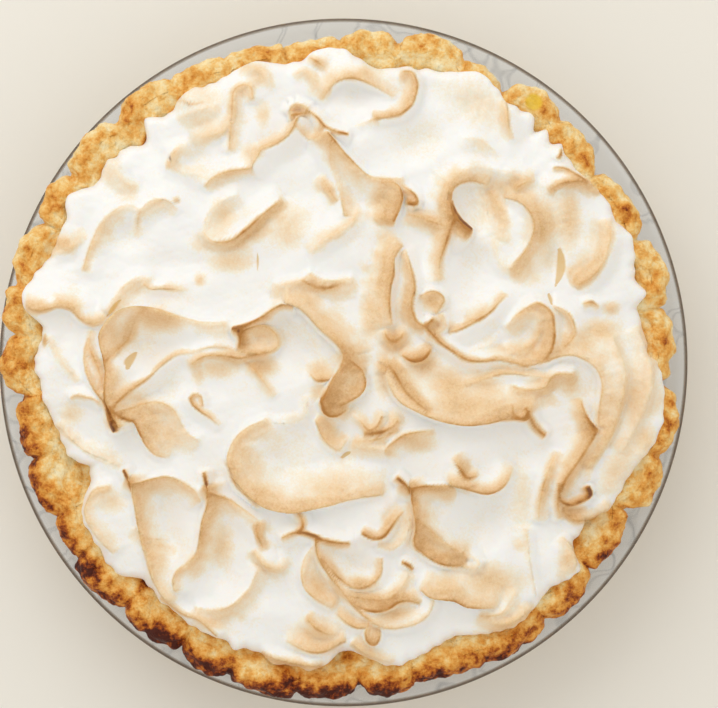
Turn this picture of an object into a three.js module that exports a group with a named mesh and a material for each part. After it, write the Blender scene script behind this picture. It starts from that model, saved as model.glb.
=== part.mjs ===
// A lemon meringue pie in the clear glass dish it was baked in.
//
// Three solids make it up: the glass dish, the pastry case with everything that fills it up to
// the underside of the topping, and the meringue with its baked swirls and peaks. Millimetres,
// +Z up, origin at the middle of the dish's flat base.

import * as THREE from 'three';

// ---------------------------------------------------------------- driving dimensions

// Glass dish
const dishDiameter = 237.6;
const dishHeight = 38;
const dishBaseDiameter = 170;
const glassThickness = 4.5;
const flangeThickness = 2.8;
const flangeWidth = 11.5;
const beadRadius = 1.4;

// Pastry case
const pastryOffset = [0.5, -0.2];
const pastryCrestHeight = 10;
const pastryLobeSwell = 2.2;
const pastryLobeFullness = 0.6;
const pastryPinchDepth = 4.5;
const pastryOuterRound = 6;
const pastryCrestInset = 7;
const pastryInnerSlope = 15;
const fillAboveRim = 2;

// Meringue
const meringueMeanRadius = 105;
const meringueMiddleHeight = 19;
const meringueEdgeHeight = 12.5;
const lipOverlap = 0.6;
const lipSharpness = 20;
const crestRounding = 1.6;
const flankMargin = 2.5;
const ridgeBlend = 4;
const crestStep = 2.5;

// Gap between pieces that touch
const gap = 0.35;

// Fineness of the meshes
const dishSegments = 56;
const meringueRings = 27;
const pastrySegments = 8 * meringueRings;

const rimRadius = dishDiameter / 2;
const fillHeight = dishHeight + fillAboveRim;

// ---------------------------------------------------------------- the pie's uneven outlines

// The crimps of the pastry edge, anticlockwise from +X: the angle and radius of each pinched
// notch, then of the lobe that swells out after it (degrees, millimetres).
const crimps = [
  [-3.5, 108.5, 4, 113.5], [10, 110, 16.5, 114.5], [23, 110, 29, 113], [37, 108, 45, 113],
  [48.5, 112, 53.5, 115], [60, 108, 65, 112.5], [68.5, 112, 74.5, 116.5], [80.5, 111, 85, 114.5],
  [91, 111, 95, 111.5], [101, 110.5, 107.5, 113.5], [111.5, 112.5, 118.5, 115],
  [121.5, 114.5, 127.5, 117.5], [133.5, 114, 140.5, 118.5], [145.5, 113.5, 150, 118],
  [155, 114, 160.5, 119], [166.5, 116, 170, 118.5], [175, 114, 180.5, 118], [186, 111.5, 191, 114],
  [197, 112.5, 201, 115.5], [208, 112, 213, 114.5], [216, 114.5, 221, 116.5], [228, 113.5, 233, 116],
  [240, 112.5, 246, 116.5], [249.5, 114.5, 256, 117.5], [261.5, 114.5, 265.5, 115.5],
  [272.5, 111, 278, 115], [282.5, 112, 289, 113.5], [295, 114, 301, 115], [308, 112, 313.5, 114.5],
  [320, 109.5, 326.5, 112.5], [332.5, 107.5, 339, 115.5], [343.5, 113, 349.5, 116],
];

// Where the meringue ends on the pastry: turning points of its wavy edge, as angle and radius.
const meringueEdge = [
  [0, 107], [1.5, 104], [10, 101.5], [13.5, 105.5], [15.5, 103.5], [23.5, 107], [28, 104.5],
  [31, 105.5], [41, 103], [45, 104.5], [46.5, 103.5], [49, 105], [50.5, 103], [52.5, 106],
  [57.5, 105], [64.5, 109], [72.5, 105], [78, 103.5], [83.5, 101.5], [92, 108], [100.5, 104],
  [107.5, 107.5], [115.5, 105.5], [120, 107], [125.5, 104.5], [129, 107.5], [132.3, 101.3],
  [135.5, 105], [140.5, 106.5], [144, 105], [149, 110], [153.5, 107], [158, 107], [169, 112.5],
  [174, 104], [180, 106], [186, 104], [192, 101.5], [198, 100], [202.5, 95], [212, 104.5],
  [222, 106], [227.5, 101.5], [233.5, 103], [242.5, 104], [245.5, 103.5], [249.5, 104.5],
  [252.5, 103], [257.5, 106], [260, 105], [263.5, 105.5], [271, 98.5], [279.5, 105],
  [284.5, 103.5], [290.5, 101], [304, 107], [312.5, 104.5], [318.5, 107], [322, 98.5], [324, 99.5],
  [326.5, 98.5], [332, 103.5], [336, 104], [350, 110.5], [355, 109.5], [360, 107],
];

// ---------------------------------------------------------------- the swirls of the topping

// Scooped hollows: middle x and y, half length, half width, turn in degrees, depth.
const hollows = [
  [46.5, 52.5, 12, 12, 0, 4.5], [44.5, 31, 14, 10, 60, 4], [24, 75, 16, 9, 20, 4],
  [4, 91, 8, 5, 0, 2.5], [-66.5, 7, 13, 8, 0, 5], [-60.5, -9, 10, 5, 20, 2.5],
  [-50.5, 69.5, 6, 4, 20, 3], [-74, 43.5, 9, 6, 0, 2.5], [-14, 6, 15, 9, -40, 4.5],
  [-12, -33.5, 22, 14, 15, 5], [-61, -55.5, 17, 9, 105, 5], [-41.5, -66, 15, 9, 75, 5],
  [46.5, -54.5, 15, 10, 60, 5], [3, -67.5, 10, 6, -30, 4], [62.5, 9, 7, 6, 0, 3.5],
  [81, -9, 9, 8, 90, 3], [-3, -23, 5, 4, 0, 2], [18, -53.5, 9, 5, 70, 2.5], [-38.5, 50.5, 7, 6, 40, 2],
  [71.5, 34.5, 8, 4, 80, 2.5], [62.5, -30.5, 12, 6, 0, 2.5], [-55.5, 34, 16, 6, 10, 2],
];

// Ridges, folds and pulled-up tips, each drawn along its crest. rise is how far it stands above
// the dome at its start, middle and end. flanks are the reach of its slopes on the left and on
// the right of the crest's direction: the shorter one is the steep side.
const ridges = [
  { name: 'west arch', rise: [2, 4, 3], flanks: [5, 7],
    crest: [[-88, 32], [-85.5, 40], [-82.5, 46], [-78.5, 50.5], [-75, 52.5], [-71.5, 53],
      [-68.5, 51.5]] },
  { name: 'small bowl, west wall', rise: [2, 4, 3], flanks: [4, 6],
    crest: [[-59.5, 66.5], [-58.5, 69], [-56.5, 72], [-53, 73.5]] },
  { name: 'north-west ridge', rise: [2, 4, 4], flanks: [5, 3],
    crest: [[-46.5, 60], [-44, 62.5], [-39, 64.5], [-31, 65.5]] },
  { name: 'rise to the north peak', rise: [4, 4.5, 7], flanks: [3, 6],
    crest: [[-31, 66.5], [-29, 69.5], [-27.5, 72], [-23.5, 73.5], [-19.5, 76], [-17, 79],
      [-15.5, 82.5]] },
  { name: 'north knob', rise: [5, 6, 6], flanks: [3, 3],
    crest: [[-18, 85], [-17, 87], [-14, 87], [-12, 86]] },
  { name: 'north peak, west arm', rise: [5, 6, 5], flanks: [3, 3],
    crest: [[-12.5, 85.5], [-9, 83], [-6, 79.5], [-2.5, 78], [1.5, 77]] },
  { name: 'north peak, long ridge', rise: [8, 6, 4], flanks: [3, 7],
    crest: [[-5, 77.5], [-1.5, 73], [1.5, 69.5], [5, 66], [8.5, 63], [13, 62], [19.5, 62]] },
  { name: 'north lobe', rise: [3, 5.5, 4], flanks: [2, 7],
    crest: [[12.5, 60.5], [16.5, 61], [19, 59.5], [20, 56], [19, 52], [17, 47.5]] },
  { name: 'north lobe, small knob', rise: [3, 5, 5], flanks: [2.5, 3],
    crest: [[20, 59.5], [22.5, 58], [24.5, 56], [25, 53.5], [22, 53.5]] },
  { name: 'roll beside the north lobe', rise: [2, 4, 2], flanks: [3, 4],
    crest: [[22, 50], [26, 49], [30, 47.5], [34.5, 46]] },
  { name: 'north hook', rise: [4, 6, 2.5], flanks: [3, 4.5],
    crest: [[20.5, 99], [23.5, 98.5], [25, 95], [24.5, 90.5], [23, 87], [19.5, 84], [15, 83],
      [11, 82.5]] },
  { name: 'north arch', rise: [2, 5.5, 2], flanks: [7, 2.5],
    crest: [[-7, 89.5], [-5, 92], [-3, 94.5], [0.5, 96], [4, 96], [7.5, 95], [12, 93], [16.5, 90.5]] },
  { name: 'tall wall', rise: [1.5, 2.5, 2.5], flanks: [3.5, 3.5],
    crest: [[-38.5, 72.5], [-38, 80.5], [-37.5, 87], [-37, 92], [-34.5, 94], [-31.5, 93.5],
      [-30.5, 89.5]] },
  { name: 'great hook, inner lip', rise: [9, 5.5, 3], flanks: [8, 2.5],
    crest: [[43, 45], [40, 47.5], [37.5, 50.5], [36.5, 54.5], [37, 58.5], [39.5, 60.5], [43.5, 61.5],
      [48.5, 60.5]] },
  { name: 'great hook, shoulder', rise: [1.5, 3.5, 3], flanks: [5, 5],
    crest: [[33.5, 53.5], [34.5, 59], [38, 63.5], [44, 66], [53, 65], [63, 62.5]] },
  { name: 'great hook, tail', rise: [6, 5, 1.5], flanks: [3, 5],
    crest: [[38, 49], [36.7, 46.5], [35.5, 43], [34, 38.5], [32.5, 34], [32.5, 28.5]] },
  { name: 'great hook, east wall', rise: [2, 4, 2.5], flanks: [7, 3],
    crest: [[55.5, 56], [59.5, 54.5], [63, 51], [64.5, 46.5], [63.5, 41.5], [60.5, 36.5], [57, 32]] },
  { name: 'east fold, upper crest', rise: [2, 4, 3], flanks: [2.2, 5],
    crest: [[71.5, 66], [75, 66], [79, 64.5], [83, 62]] },
  { name: 'east fold, lower crest', rise: [2, 5.5, 2], flanks: [5, 3],
    crest: [[70, 58.5], [73.5, 60.5], [77.5, 61], [82.5, 60.5], [87, 58.5]] },
  { name: 'north-east fold', rise: [2, 3.5, 1.5], flanks: [5, 3],
    crest: [[55, 89], [55.5, 84.5], [56, 80.5], [57.5, 76.5]] },
  { name: 'east long curve', rise: [1.5, 4.5, 2], flanks: [5, 4],
    crest: [[90, 47.5], [90.5, 43], [89.5, 38.5], [88, 34], [84.5, 29.5], [80, 26.5]] },
  { name: 'middle-east lip', rise: [1.5, 4.5, 2], flanks: [2.5, 6],
    crest: [[36.5, 10.5], [40, 11.5], [43.5, 13.5], [46.5, 15], [50, 17.5], [52.5, 20.5],
      [54.5, 22.5]] },
  { name: 'long ribbon, west half', rise: [5, 4.5, 3.5], flanks: [4, 3.5],
    crest: [[27, 12.5], [30, 9.5], [33, 6.5], [37.5, 3.5], [40.5, 1.5], [44.5, 0.5], [53, 1],
      [57.5, 0], [62.5, -1]] },
  { name: 'long ribbon, east half', rise: [3.5, 4, 4], flanks: [9, 2.5],
    crest: [[61, -1.5], [65, -0.5], [68.5, 0], [71.5, 1.5], [75, 2.5], [78, 2.5], [81.5, 1],
      [84.5, -1], [86.5, -4], [87.5, -8], [87, -12.5], [86.5, -16.5], [86, -20.5]] },
  { name: 'east roll', rise: [2, 6, 5], flanks: [3.5, 5],
    crest: [[55.5, 12.5], [58.5, 16], [62, 18.5], [65.5, 20], [68.5, 18.5], [70.5, 16], [71, 11.5],
      [71, 7.5], [69.5, 3], [67, 0.5]] },
  { name: 'east roll, outer loop', rise: [3, 4, 2], flanks: [5, 2.5],
    crest: [[71.5, 19], [74, 18], [76.5, 16], [78, 12.5], [78.5, 10], [77, 8], [74.5, 6.5]] },
  { name: 'outer ribbon', rise: [2, 5, 3.5], flanks: [2.5, 7],
    crest: [[91.5, 8.5], [93, 4], [94.5, 0], [95.5, -4], [95, -8], [94.5, -12.5], [93.5, -16.5],
      [92, -21.5], [89.5, -26], [86.5, -31], [83.5, -35]] },
  { name: 'edge ribbon', rise: [1.5, 4, 1.5], flanks: [2.5, 5],
    crest: [[100.5, 11], [103.5, 4.5], [104.5, -3], [104, -10], [101.5, -16.5], [98, -23.5],
      [95, -29.5]] },
  { name: 'spike', rise: [3, 5, 7], flanks: [2, 3.5],
    crest: [[80.5, -13], [81.5, -16.5], [83, -19.5], [85.5, -22.5]] },
  { name: 'spike, tail', rise: [7, 5, 3.5], flanks: [3.5, 4],
    crest: [[85, -24], [83, -27.5], [80, -32], [77, -36], [74.5, -40.5], [73.5, -43.5]] },
  { name: 'crescent, lower crest', rise: [4, 9, 6], flanks: [13, 3.5],
    crest: [[14.5, -3], [15.5, -7], [18.5, -12.5], [25, -16.5], [32.5, -19.5], [40.5, -21],
      [48.5, -20.5], [55.5, -19], [62, -19.5]] },
  { name: 'crescent, tongue', rise: [2, 4.5, 4], flanks: [3, 2.5],
    crest: [[57.5, -8], [61, -9], [65, -9], [68.5, -8], [69.5, -6], [71.5, -4], [77.5, -4]] },
  { name: 'crescent, west fold', rise: [4, 3.5, 2], flanks: [3, 2],
    crest: [[14.5, -3], [15, -1], [16.5, -2], [18.5, -4.5], [21.5, -8.5], [25, -11.5],
      [29.5, -14.5]] },
  { name: 'crescent, tip', rise: [5, 5, 4], flanks: [3, 3],
    crest: [[61.5, -14.5], [63, -17.5], [64, -20.5], [65.5, -22.5], [68, -24.5]] },
  { name: 'south crescent knob', rise: [3, 5.5, 3], flanks: [4, 2.2],
    crest: [[20, 2.5], [22, 1], [25, 0.5], [28, 2], [29.5, 4.5]] },
  { name: 'middle post', rise: [4, 6, 4.5], flanks: [3, 6],
    crest: [[19.5, 39], [17, 35], [17, 30], [16, 26], [15.5, 21], [16, 13.5]] },
  { name: 'middle hook', rise: [3, 5, 6], flanks: [3, 3],
    crest: [[21, 37.5], [22.5, 33], [23.5, 29], [24, 24.5], [23, 20.5], [23.5, 16.5], [25, 13.5],
      [27.5, 12.5], [30, 14.5]] },
  { name: 'middle hook, bulb', rise: [2, 4.5, 3], flanks: [2.5, 5],
    crest: [[26, 22.5], [30.5, 24], [34, 21.5], [31.5, 17]] },
  { name: 'middle bar', rise: [3, 4.5, 3], flanks: [3, 5.5],
    crest: [[-22.5, 26], [-17, 27], [-13.5, 28], [-11, 29.5], [-8, 28], [-3.5, 27.5], [2.5, 28]] },
  { name: 'great arch', rise: [8, 7, 6.5], flanks: [3, 4],
    crest: [[-37, 11.5], [-32, 13], [-27, 15.5], [-23.5, 18], [-20, 19.5], [-17, 19]] },
  { name: 'great arch, east limb', rise: [6.5, 7.5, 8], flanks: [7, 3],
    crest: [[-19, 19.5], [-15, 18.5], [-11.5, 15.5], [-8.5, 12], [-4.5, 8.5], [-1.5, 5.5], [0, 2.5],
      [-1, -1.5], [-3.5, -5.5], [-5.5, -9.5], [-7.5, -13]] },
  { name: 'arch nose, underside', rise: [8, 6.5, 4], flanks: [2, 2],
    crest: [[-35, 10.5], [-34.5, 8.5], [-35, 5.5]] },
  { name: 'great arch, dark lobe', rise: [3.5, 6, 4], flanks: [2.5, 8],
    crest: [[2.5, 3.5], [5, 0], [7, -4], [7.5, -8], [5.5, -11], [2, -13], [-1, -15]] },
  { name: 'great arch, foot', rise: [6, 5.5, 3], flanks: [6, 2],
    crest: [[-7.5, -12.5], [-7, -16], [-5, -18], [-2, -18], [1, -16]] },
  { name: 'oval dollop', rise: [6, 5, 5], flanks: [2.2, 5],
    crest: [[-34.5, 10.5], [-31, 12], [-27.5, 12.5], [-24, 11], [-22, 8.5], [-22, 5.5], [-25, 3.5],
      [-30, 3], [-34.5, 3.5]] },
  { name: 'oval dollop, west lip', rise: [3, 4.5, 5], flanks: [6, 3],
    crest: [[-51, -0.5], [-47, 2], [-43, 2.5], [-38.5, 2], [-34.5, 1.5], [-30.5, 2.5], [-26, 3.5]] },
  { name: 'rubble, west', rise: [2, 4, 4.5], flanks: [3, 2.5],
    crest: [[3, -17.5], [6.5, -20.5], [8.5, -23], [11.5, -21.5], [13, -18]] },
  { name: 'rubble, middle', rise: [3.5, 4, 3], flanks: [2.5, 2.5],
    crest: [[7.5, -24], [12.5, -23.5], [16, -22], [18.5, -19.5]] },
  { name: 'south-east shelf', rise: [4, 5.5, 2], flanks: [2.5, 5],
    crest: [[14, -29.5], [16.5, -27], [20, -24.5], [23.5, -23.5], [30, -23]] },
  { name: 'toasted pocket', rise: [2, 4, 2], flanks: [6, 2.5],
    crest: [[-9, -20], [-7.5, -24], [-4.5, -28], [-1.5, -29.5], [1, -26]] },
  { name: 'boomerang', rise: [3, 8, 2], flanks: [13, 3],
    crest: [[-26.5, -19.5], [-31.5, -21.5], [-35.5, -24.5], [-38, -28.5], [-39, -32.5], [-37.5, -37.5],
      [-34.5, -42], [-31, -45.5], [-27, -48.5], [-22, -50], [-16.5, -50.5], [-11, -49.5], [-4.5, -48],
      [3, -46], [12.5, -44.5]] },
  { name: 'boomerang, fold', rise: [3, 4, 4], flanks: [2.5, 2],
    crest: [[-38.5, -35], [-36.5, -41], [-30.5, -47]] },
  { name: 'west edge ridge', rise: [3, 5, 2.5], flanks: [7, 2.5],
    crest: [[-107, 18], [-103.5, 17.5], [-100, 18], [-95.5, 19], [-92, 18], [-88.5, 14.5], [-85, 13],
      [-81, 14.5]] },
  { name: 'west slivers, outer', rise: [2, 3.5, 4], flanks: [4, 2],
    crest: [[-86.5, 8.5], [-87.5, 5], [-87.5, 0], [-86, -5], [-84, -9], [-82, -12], [-79.5, -16]] },
  { name: 'leaf, outer crest', rise: [3, 9, 10], flanks: [9, 2.2],
    crest: [[-40, 13.5], [-46.5, 13.5], [-51.5, 14.5], [-56.5, 16], [-62, 18], [-68, 19], [-73, 18.5],
      [-77, 16.5], [-80, 13.5], [-82, 10], [-82, 6.5], [-81, 2.5], [-80, -2], [-80, -6.5], [-80, -11],
      [-79, -15], [-78, -19], [-75.5, -22]] },
  { name: 'leaf, inner fold', rise: [4, 3, 1], flanks: [2.5, 3],
    crest: [[-76.5, -20.5], [-78, -16], [-79, -10.5], [-79, -6], [-78, -1.5], [-76, 2.5], [-73.5, 6.5],
      [-71.5, 10], [-69.5, 13.5], [-66, 16], [-61.5, 16]] },
  { name: 'leaf, tip', rise: [9, 9.5, 10], flanks: [3, 2.6],
    crest: [[-80, -10], [-79.5, -15], [-78.5, -19.5], [-77, -23]] },
  { name: 'leaf, lower crest', rise: [9, 5.5, 3], flanks: [4, 4.5],
    crest: [[-75.5, -21.5], [-75.5, -16.5], [-74.5, -13.5], [-72, -10], [-69, -7.5], [-65.5, -5],
      [-62.5, -2], [-59, 1], [-55.5, 3], [-50.5, 3.5]] },
  { name: 'small leaf, upper edge', rise: [4, 3.5, 2], flanks: [3, 5],
    crest: [[-75.5, -16.5], [-71, -14.5], [-66.5, -13.5], [-61.5, -13.5], [-57.5, -15.5], [-55, -20],
      [-52.5, -24], [-49.5, -26]] },
  { name: 'small leaf, lower crest', rise: [5, 5.5, 2], flanks: [9, 2.5],
    crest: [[-75.5, -17.5], [-73, -18.5], [-70.5, -20], [-68.5, -24], [-66.5, -28], [-63.5, -31],
      [-60.5, -32]] },
  { name: 'pale wave', rise: [3, 3.5, 2], flanks: [4, 4],
    crest: [[-79.5, 18], [-77.5, 21], [-75.5, 24], [-73, 26.5], [-69.5, 28.5], [-66, 28]] },
  { name: 'middle-west nick', rise: [3, 3.5, 1.5], flanks: [2.5, 3],
    crest: [[-51.5, -12], [-51, -13.5], [-48.5, -16], [-45.5, -18], [-42, -21]] },
  { name: 'scroll, lower crest', rise: [3, 5, 2], flanks: [6, 3],
    crest: [[-47, 43.5], [-44.5, 41], [-41, 40.5], [-37, 41.5], [-33, 44.5], [-27.5, 49.5],
      [-21.5, 54.5]] },
  { name: 'south-west peak, top', rise: [6.5, 5, 3], flanks: [2.5, 5.5],
    crest: [[-72.3, -38.8], [-71, -39.4], [-67.8, -40], [-64.4, -39.2], [-60, -38.5], [-56.5, -39.2],
      [-53.2, -41], [-50, -43.5], [-48.5, -46.5]] },
  { name: 'south-west peak, thorn', rise: [8, 8, 6], flanks: [2.5, 2.5],
    crest: [[-73.8, -36.2], [-73, -38], [-72.2, -40], [-71.3, -43.5]] },
  { name: 'south-west peak, west wall', rise: [7, 6, 4], flanks: [6, 2.5],
    crest: [[-72.4, -39.5], [-71.2, -43.8], [-70.2, -49.2], [-69.3, -55.2], [-68, -61], [-66, -67.5],
      [-65, -72.5], [-63, -77.5], [-60, -81.5]] },
  { name: 'south peak, west wall', rise: [7, 6, 4.5], flanks: [6, 3],
    crest: [[-45.8, -42], [-45.6, -45], [-46, -49], [-47.2, -52.5], [-48, -57], [-48.5, -61],
      [-50, -65], [-53, -68], [-56, -70.5], [-57.5, -73.5], [-57, -77]] },
  { name: 'south peak, east wall', rise: [6.5, 5, 3], flanks: [3, 6.5],
    crest: [[-45.8, -41.2], [-44.8, -42.2], [-42.9, -43.7], [-40.3, -45.3], [-37, -47], [-33.5, -49.5],
      [-30, -52], [-27, -54.5]] },
  { name: 'south peak, thorn', rise: [8, 8, 6], flanks: [2.5, 2.5],
    crest: [[-46.8, -37], [-46.4, -39.2], [-45.8, -42], [-45.6, -46]] },
  { name: 'rim under the south bowl', rise: [2, 3.5, 2.5], flanks: [4, 4],
    crest: [[-49.5, -83.5], [-45, -84], [-39.5, -83], [-35, -80], [-31.5, -76], [-29, -70.5]] },
  { name: 'west shoulder', rise: [2, 3.5, 2], flanks: [6, 3],
    crest: [[-79.5, -42], [-84, -43], [-86.5, -46], [-88, -50], [-87, -54.5], [-83.5, -59.5],
      [-78.5, -64.5]] },
  { name: 'drip, lower', rise: [2, 4.5, 2], flanks: [6, 2.5],
    crest: [[-30, -64], [-27.5, -67.5], [-24.5, -69.5], [-21.5, -70], [-19, -67.5]] },
  { name: 'south crest', rise: [4, 6.5, 3], flanks: [4, 4],
    crest: [[-20.5, -59], [-17.5, -57.5], [-14, -57], [-10, -58], [-6.5, -59.5], [-2.5, -60.5],
      [2, -61]] },
  { name: 'south crest, pinch', rise: [2, 6, 6], flanks: [3, 3],
    crest: [[-16, -50], [-14, -52.5], [-13.5, -55], [-15, -57]] },
  { name: 'swirl, outer sweep', rise: [7, 5, 3], flanks: [5, 3],
    crest: [[-9.5, -59.5], [-8.5, -65], [-5.5, -70.5], [-0.5, -77], [4, -82.5], [8.5, -86.5],
      [14, -89.5], [20, -89.5], [26, -87.5], [29.5, -84], [30.5, -80]] },
  { name: 'swirl, inner bowl', rise: [2, 4.5, 1.5], flanks: [6, 3.5],
    crest: [[-7, -65.5], [-4, -69.5], [-1, -73], [2.5, -75.5], [6.5, -76], [10, -74.5], [12.5, -71.5],
      [13, -66.5]] },
  { name: 'swirl, third fold', rise: [2.5, 5, 2], flanks: [4, 2],
    crest: [[2.5, -80.5], [6.5, -83], [11, -84], [15.5, -83], [18.5, -81], [22, -80.5],
      [25.5, -81.5]] },
  { name: 'swirl, west lobe', rise: [3, 4.5, 3], flanks: [5, 2.2],
    crest: [[-10, -61.5], [-13, -66], [-14, -71], [-13, -76], [-9, -80], [-4.5, -82.5]] },
  { name: 'swirl, lower roll', rise: [1, 3, 3], flanks: [3, 2.2],
    crest: [[-1.5, -85.5], [1.5, -88], [4.5, -89.5], [8.5, -89.5]] },
  { name: 'finger', rise: [3, 5, 2], flanks: [4, 2],
    crest: [[8.5, -87.5], [7.5, -91.5], [8.5, -94.5], [10.5, -95.5], [12, -94], [12.5, -90]] },
  { name: 'south-east peak, long crest', rise: [8, 7, 6.5], flanks: [2.6, 5],
    crest: [[20.6, -40.3], [22.5, -41], [25.5, -41.2], [30.7, -41.5], [36.7, -41.4]] },
  { name: 'south-east peak, thorn', rise: [9.5, 9.5, 7], flanks: [2.5, 2.5],
    crest: [[18.3, -38.6], [19.6, -39.8], [21, -41.3], [22.4, -44]] },
  { name: 'south-east peak, hook', rise: [6.5, 6, 3], flanks: [6, 2.4],
    crest: [[36, -41.3], [39.5, -42], [43, -43], [48, -44.2], [52, -43.2], [55, -40.5], [57, -36]] },
  { name: 'south-east peak, down crest', rise: [8, 6, 4], flanks: [6, 2.4],
    crest: [[21.6, -42], [22.9, -45.5], [23.8, -51], [24.6, -56], [23.9, -60.5], [25, -63]] },
  { name: 'south-east peak, bowl side', rise: [3, 4, 3], flanks: [4, 5],
    crest: [[25, -48], [26.5, -52.5], [29.5, -56.5], [34, -60.5], [40, -64.5]] },
  { name: 'south-east peak, foot', rise: [3, 5, 2], flanks: [5, 2.5],
    crest: [[25.5, -63], [28.5, -65.5], [32, -67.5], [36, -68.5], [40, -68.5]] },
  { name: 'thorn', rise: [5, 5, 2], flanks: [2.5, 2.5],
    crest: [[6.5, -57.5], [9.5, -59], [13, -59], [15.5, -56.5], [17.5, -53.5], [20, -50.5]] },
  { name: 'toasted shelf', rise: [3, 6, 3.5], flanks: [9, 2.2],
    crest: [[26.5, -77], [29.5, -79.5], [33.5, -80], [37.5, -80.5], [41.5, -82.5], [45.5, -83],
      [50.5, -83]] },
  { name: 'south curl', rise: [3, 4.5, 2], flanks: [3, 3],
    crest: [[-12, -87], [-9.5, -89.5], [-6, -91.5], [-2.5, -92]] },
  { name: 'south edge wave', rise: [2, 4.5, 2], flanks: [4, 2.2],
    crest: [[-19, -94.5], [-15.5, -96.5], [-11.5, -98], [-7, -98], [-3.5, -96.5], [0.5, -94.5]] },
  { name: 'south-east dab', rise: [2, 4.5, 3.5], flanks: [3, 3],
    crest: [[37.5, -32.5], [39.5, -36], [42, -38.5], [45, -38]] },
  { name: 'east strap, outer', rise: [2, 5.5, 3.5], flanks: [5, 3.5],
    crest: [[72, -31], [69.5, -36], [67.5, -41.5], [66.5, -46.5], [66, -52.5]] },
  { name: 'east strap, inner', rise: [3, 5, 3.5], flanks: [3, 4],
    crest: [[82, -30], [78.5, -34.5], [75, -39.5], [73, -44], [72.5, -48], [73.5, -52]] },
  { name: 'claw', rise: [3, 4.5, 5.5], flanks: [2.2, 2],
    crest: [[72.5, -40.5], [72.5, -44.5], [74.5, -47.5], [77.5, -48], [81, -46.5], [83.5, -44.5],
      [82.5, -42]] },
];

// ---------------------------------------------------------------- small helpers

const toRadians = THREE.MathUtils.degToRad;

/** A cosine bell: 1 in the middle, 0 from distance 1 outwards. */
function bell(distance) {
  return distance >= 1 ? 0 : 0.5 + 0.5 * Math.cos(Math.PI * distance);
}

/** The two turning points of a closed list on either side of an angle, and the way between. */
function stretchAt(turningPoints, degrees) {
  const first = turningPoints[0][0];
  const turned = THREE.MathUtils.euclideanModulo(degrees - first, 360) + first;
  const next = turningPoints.findIndex(([angle]) => angle > turned);
  const from = turningPoints[next - 1];
  const to = turningPoints[next];
  return { from, to, way: (turned - from[0]) / (to[0] - from[0]) };
}

/** The value at an angle of a closed list of turning points, easing from each to the next. */
function eased(turningPoints, degrees) {
  const { from, to, way } = stretchAt(turningPoints, degrees);
  return THREE.MathUtils.lerp(from[1], to[1], (1 - Math.cos(Math.PI * way)) / 2);
}

/** A closed mesh from rings of equal length, each a list of points, capped by two end points. */
function shellFromRings(bottomPoint, rings, topPoint) {
  const around = rings[0].length;
  const positions = [bottomPoint, ...rings.flat(), topPoint].flat();
  const topIndex = 1 + rings.length * around;
  const indices = [];
  for (let i = 0; i < around; i += 1) {
    const j = (i + 1) % around;
    indices.push(0, 1 + j, 1 + i);
    for (let level = 0; level < rings.length - 1; level += 1) {
      const lower = 1 + level * around;
      const upper = lower + around;
      indices.push(lower + i, lower + j, upper + j);
      indices.push(lower + i, upper + j, upper + i);
    }
    const last = 1 + (rings.length - 1) * around;
    indices.push(last + i, last + j, topIndex);
  }
  return meshGeometry(positions, indices);
}

function meshGeometry(positions, indices) {
  const geometry = new THREE.BufferGeometry();
  geometry.setAttribute('position', new THREE.Float32BufferAttribute(positions, 3));
  geometry.setIndex(indices);
  geometry.computeVertexNormals();
  return geometry;
}

// ---------------------------------------------------------------- glass dish

// Heights and radii of the glass that the pastry also follows.
const flangeTop = dishHeight - 0.6;
const flangeInnerRadius = rimRadius - flangeWidth;
const floorTop = glassThickness;
const floorInnerRadius = dishBaseDiameter / 2 - 4;

/** Half of the dish's section, carried round the axis: base, sloping wall, flat flange, bead. */
function dishGeometry() {
  const baseRadius = dishBaseDiameter / 2;
  const flangeBottom = flangeTop - flangeThickness;
  const beadMiddle = dishHeight - beadRadius;
  const section = [new THREE.Vector2(0, 0), new THREE.Vector2(baseRadius, 0)];
  section.push(new THREE.Vector2(baseRadius + 3, 2.2));
  section.push(new THREE.Vector2(flangeInnerRadius + 0.5, flangeBottom - 1.5));
  section.push(new THREE.Vector2(flangeInnerRadius + 3, flangeBottom));
  for (const degrees of [-110, -50, 0, 50, 90, 130]) {
    const turn = toRadians(degrees);
    section.push(new THREE.Vector2(
      rimRadius - beadRadius + beadRadius * Math.cos(turn),
      beadMiddle + beadRadius * Math.sin(turn),
    ));
  }
  section.push(new THREE.Vector2(flangeInnerRadius + 1.5, flangeTop));
  section.push(new THREE.Vector2(flangeInnerRadius - 1, flangeTop - 1.5));
  section.push(new THREE.Vector2(floorInnerRadius + 2.5, floorTop + 1.6));
  section.push(new THREE.Vector2(floorInnerRadius, floorTop));
  section.push(new THREE.Vector2(0, floorTop));
  return new THREE.LatheGeometry(section, dishSegments).rotateX(Math.PI / 2);
}

// ---------------------------------------------------------------- pastry case

// Angle and radius of every notch and lobe in turn, and whether it is a lobe.
const pastryOutline = crimps.flatMap(([notchAngle, notch, lobeAngle, lobe]) => [
  [notchAngle, notch, false], [lobeAngle, lobe, true],
]);
pastryOutline.push([crimps[0][0] + 360, crimps[0][1], false]);

/**
 * How far out the pastry reaches at an angle, and how full it is there: 1 on a lobe, less in a
 * notch. A lobe is an arch, so its outline is steep at the notch and level at its middle.
 */
function pastryEdge(degrees) {
  const { from, to, way } = stretchAt(pastryOutline, degrees);
  const notch = to[2] ? from[1] : to[1];
  const lobe = to[2] ? to[1] : from[1];
  const fromNotch = to[2] ? way : 1 - way;
  const arch = (1 - (1 - fromNotch) ** 2) ** pastryLobeFullness;
  const pinch = Math.min(1, (lobe - notch) / pastryPinchDepth);
  return { radius: THREE.MathUtils.lerp(notch, lobe, arch), fullness: 1 - (1 - arch) * pinch };
}

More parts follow.
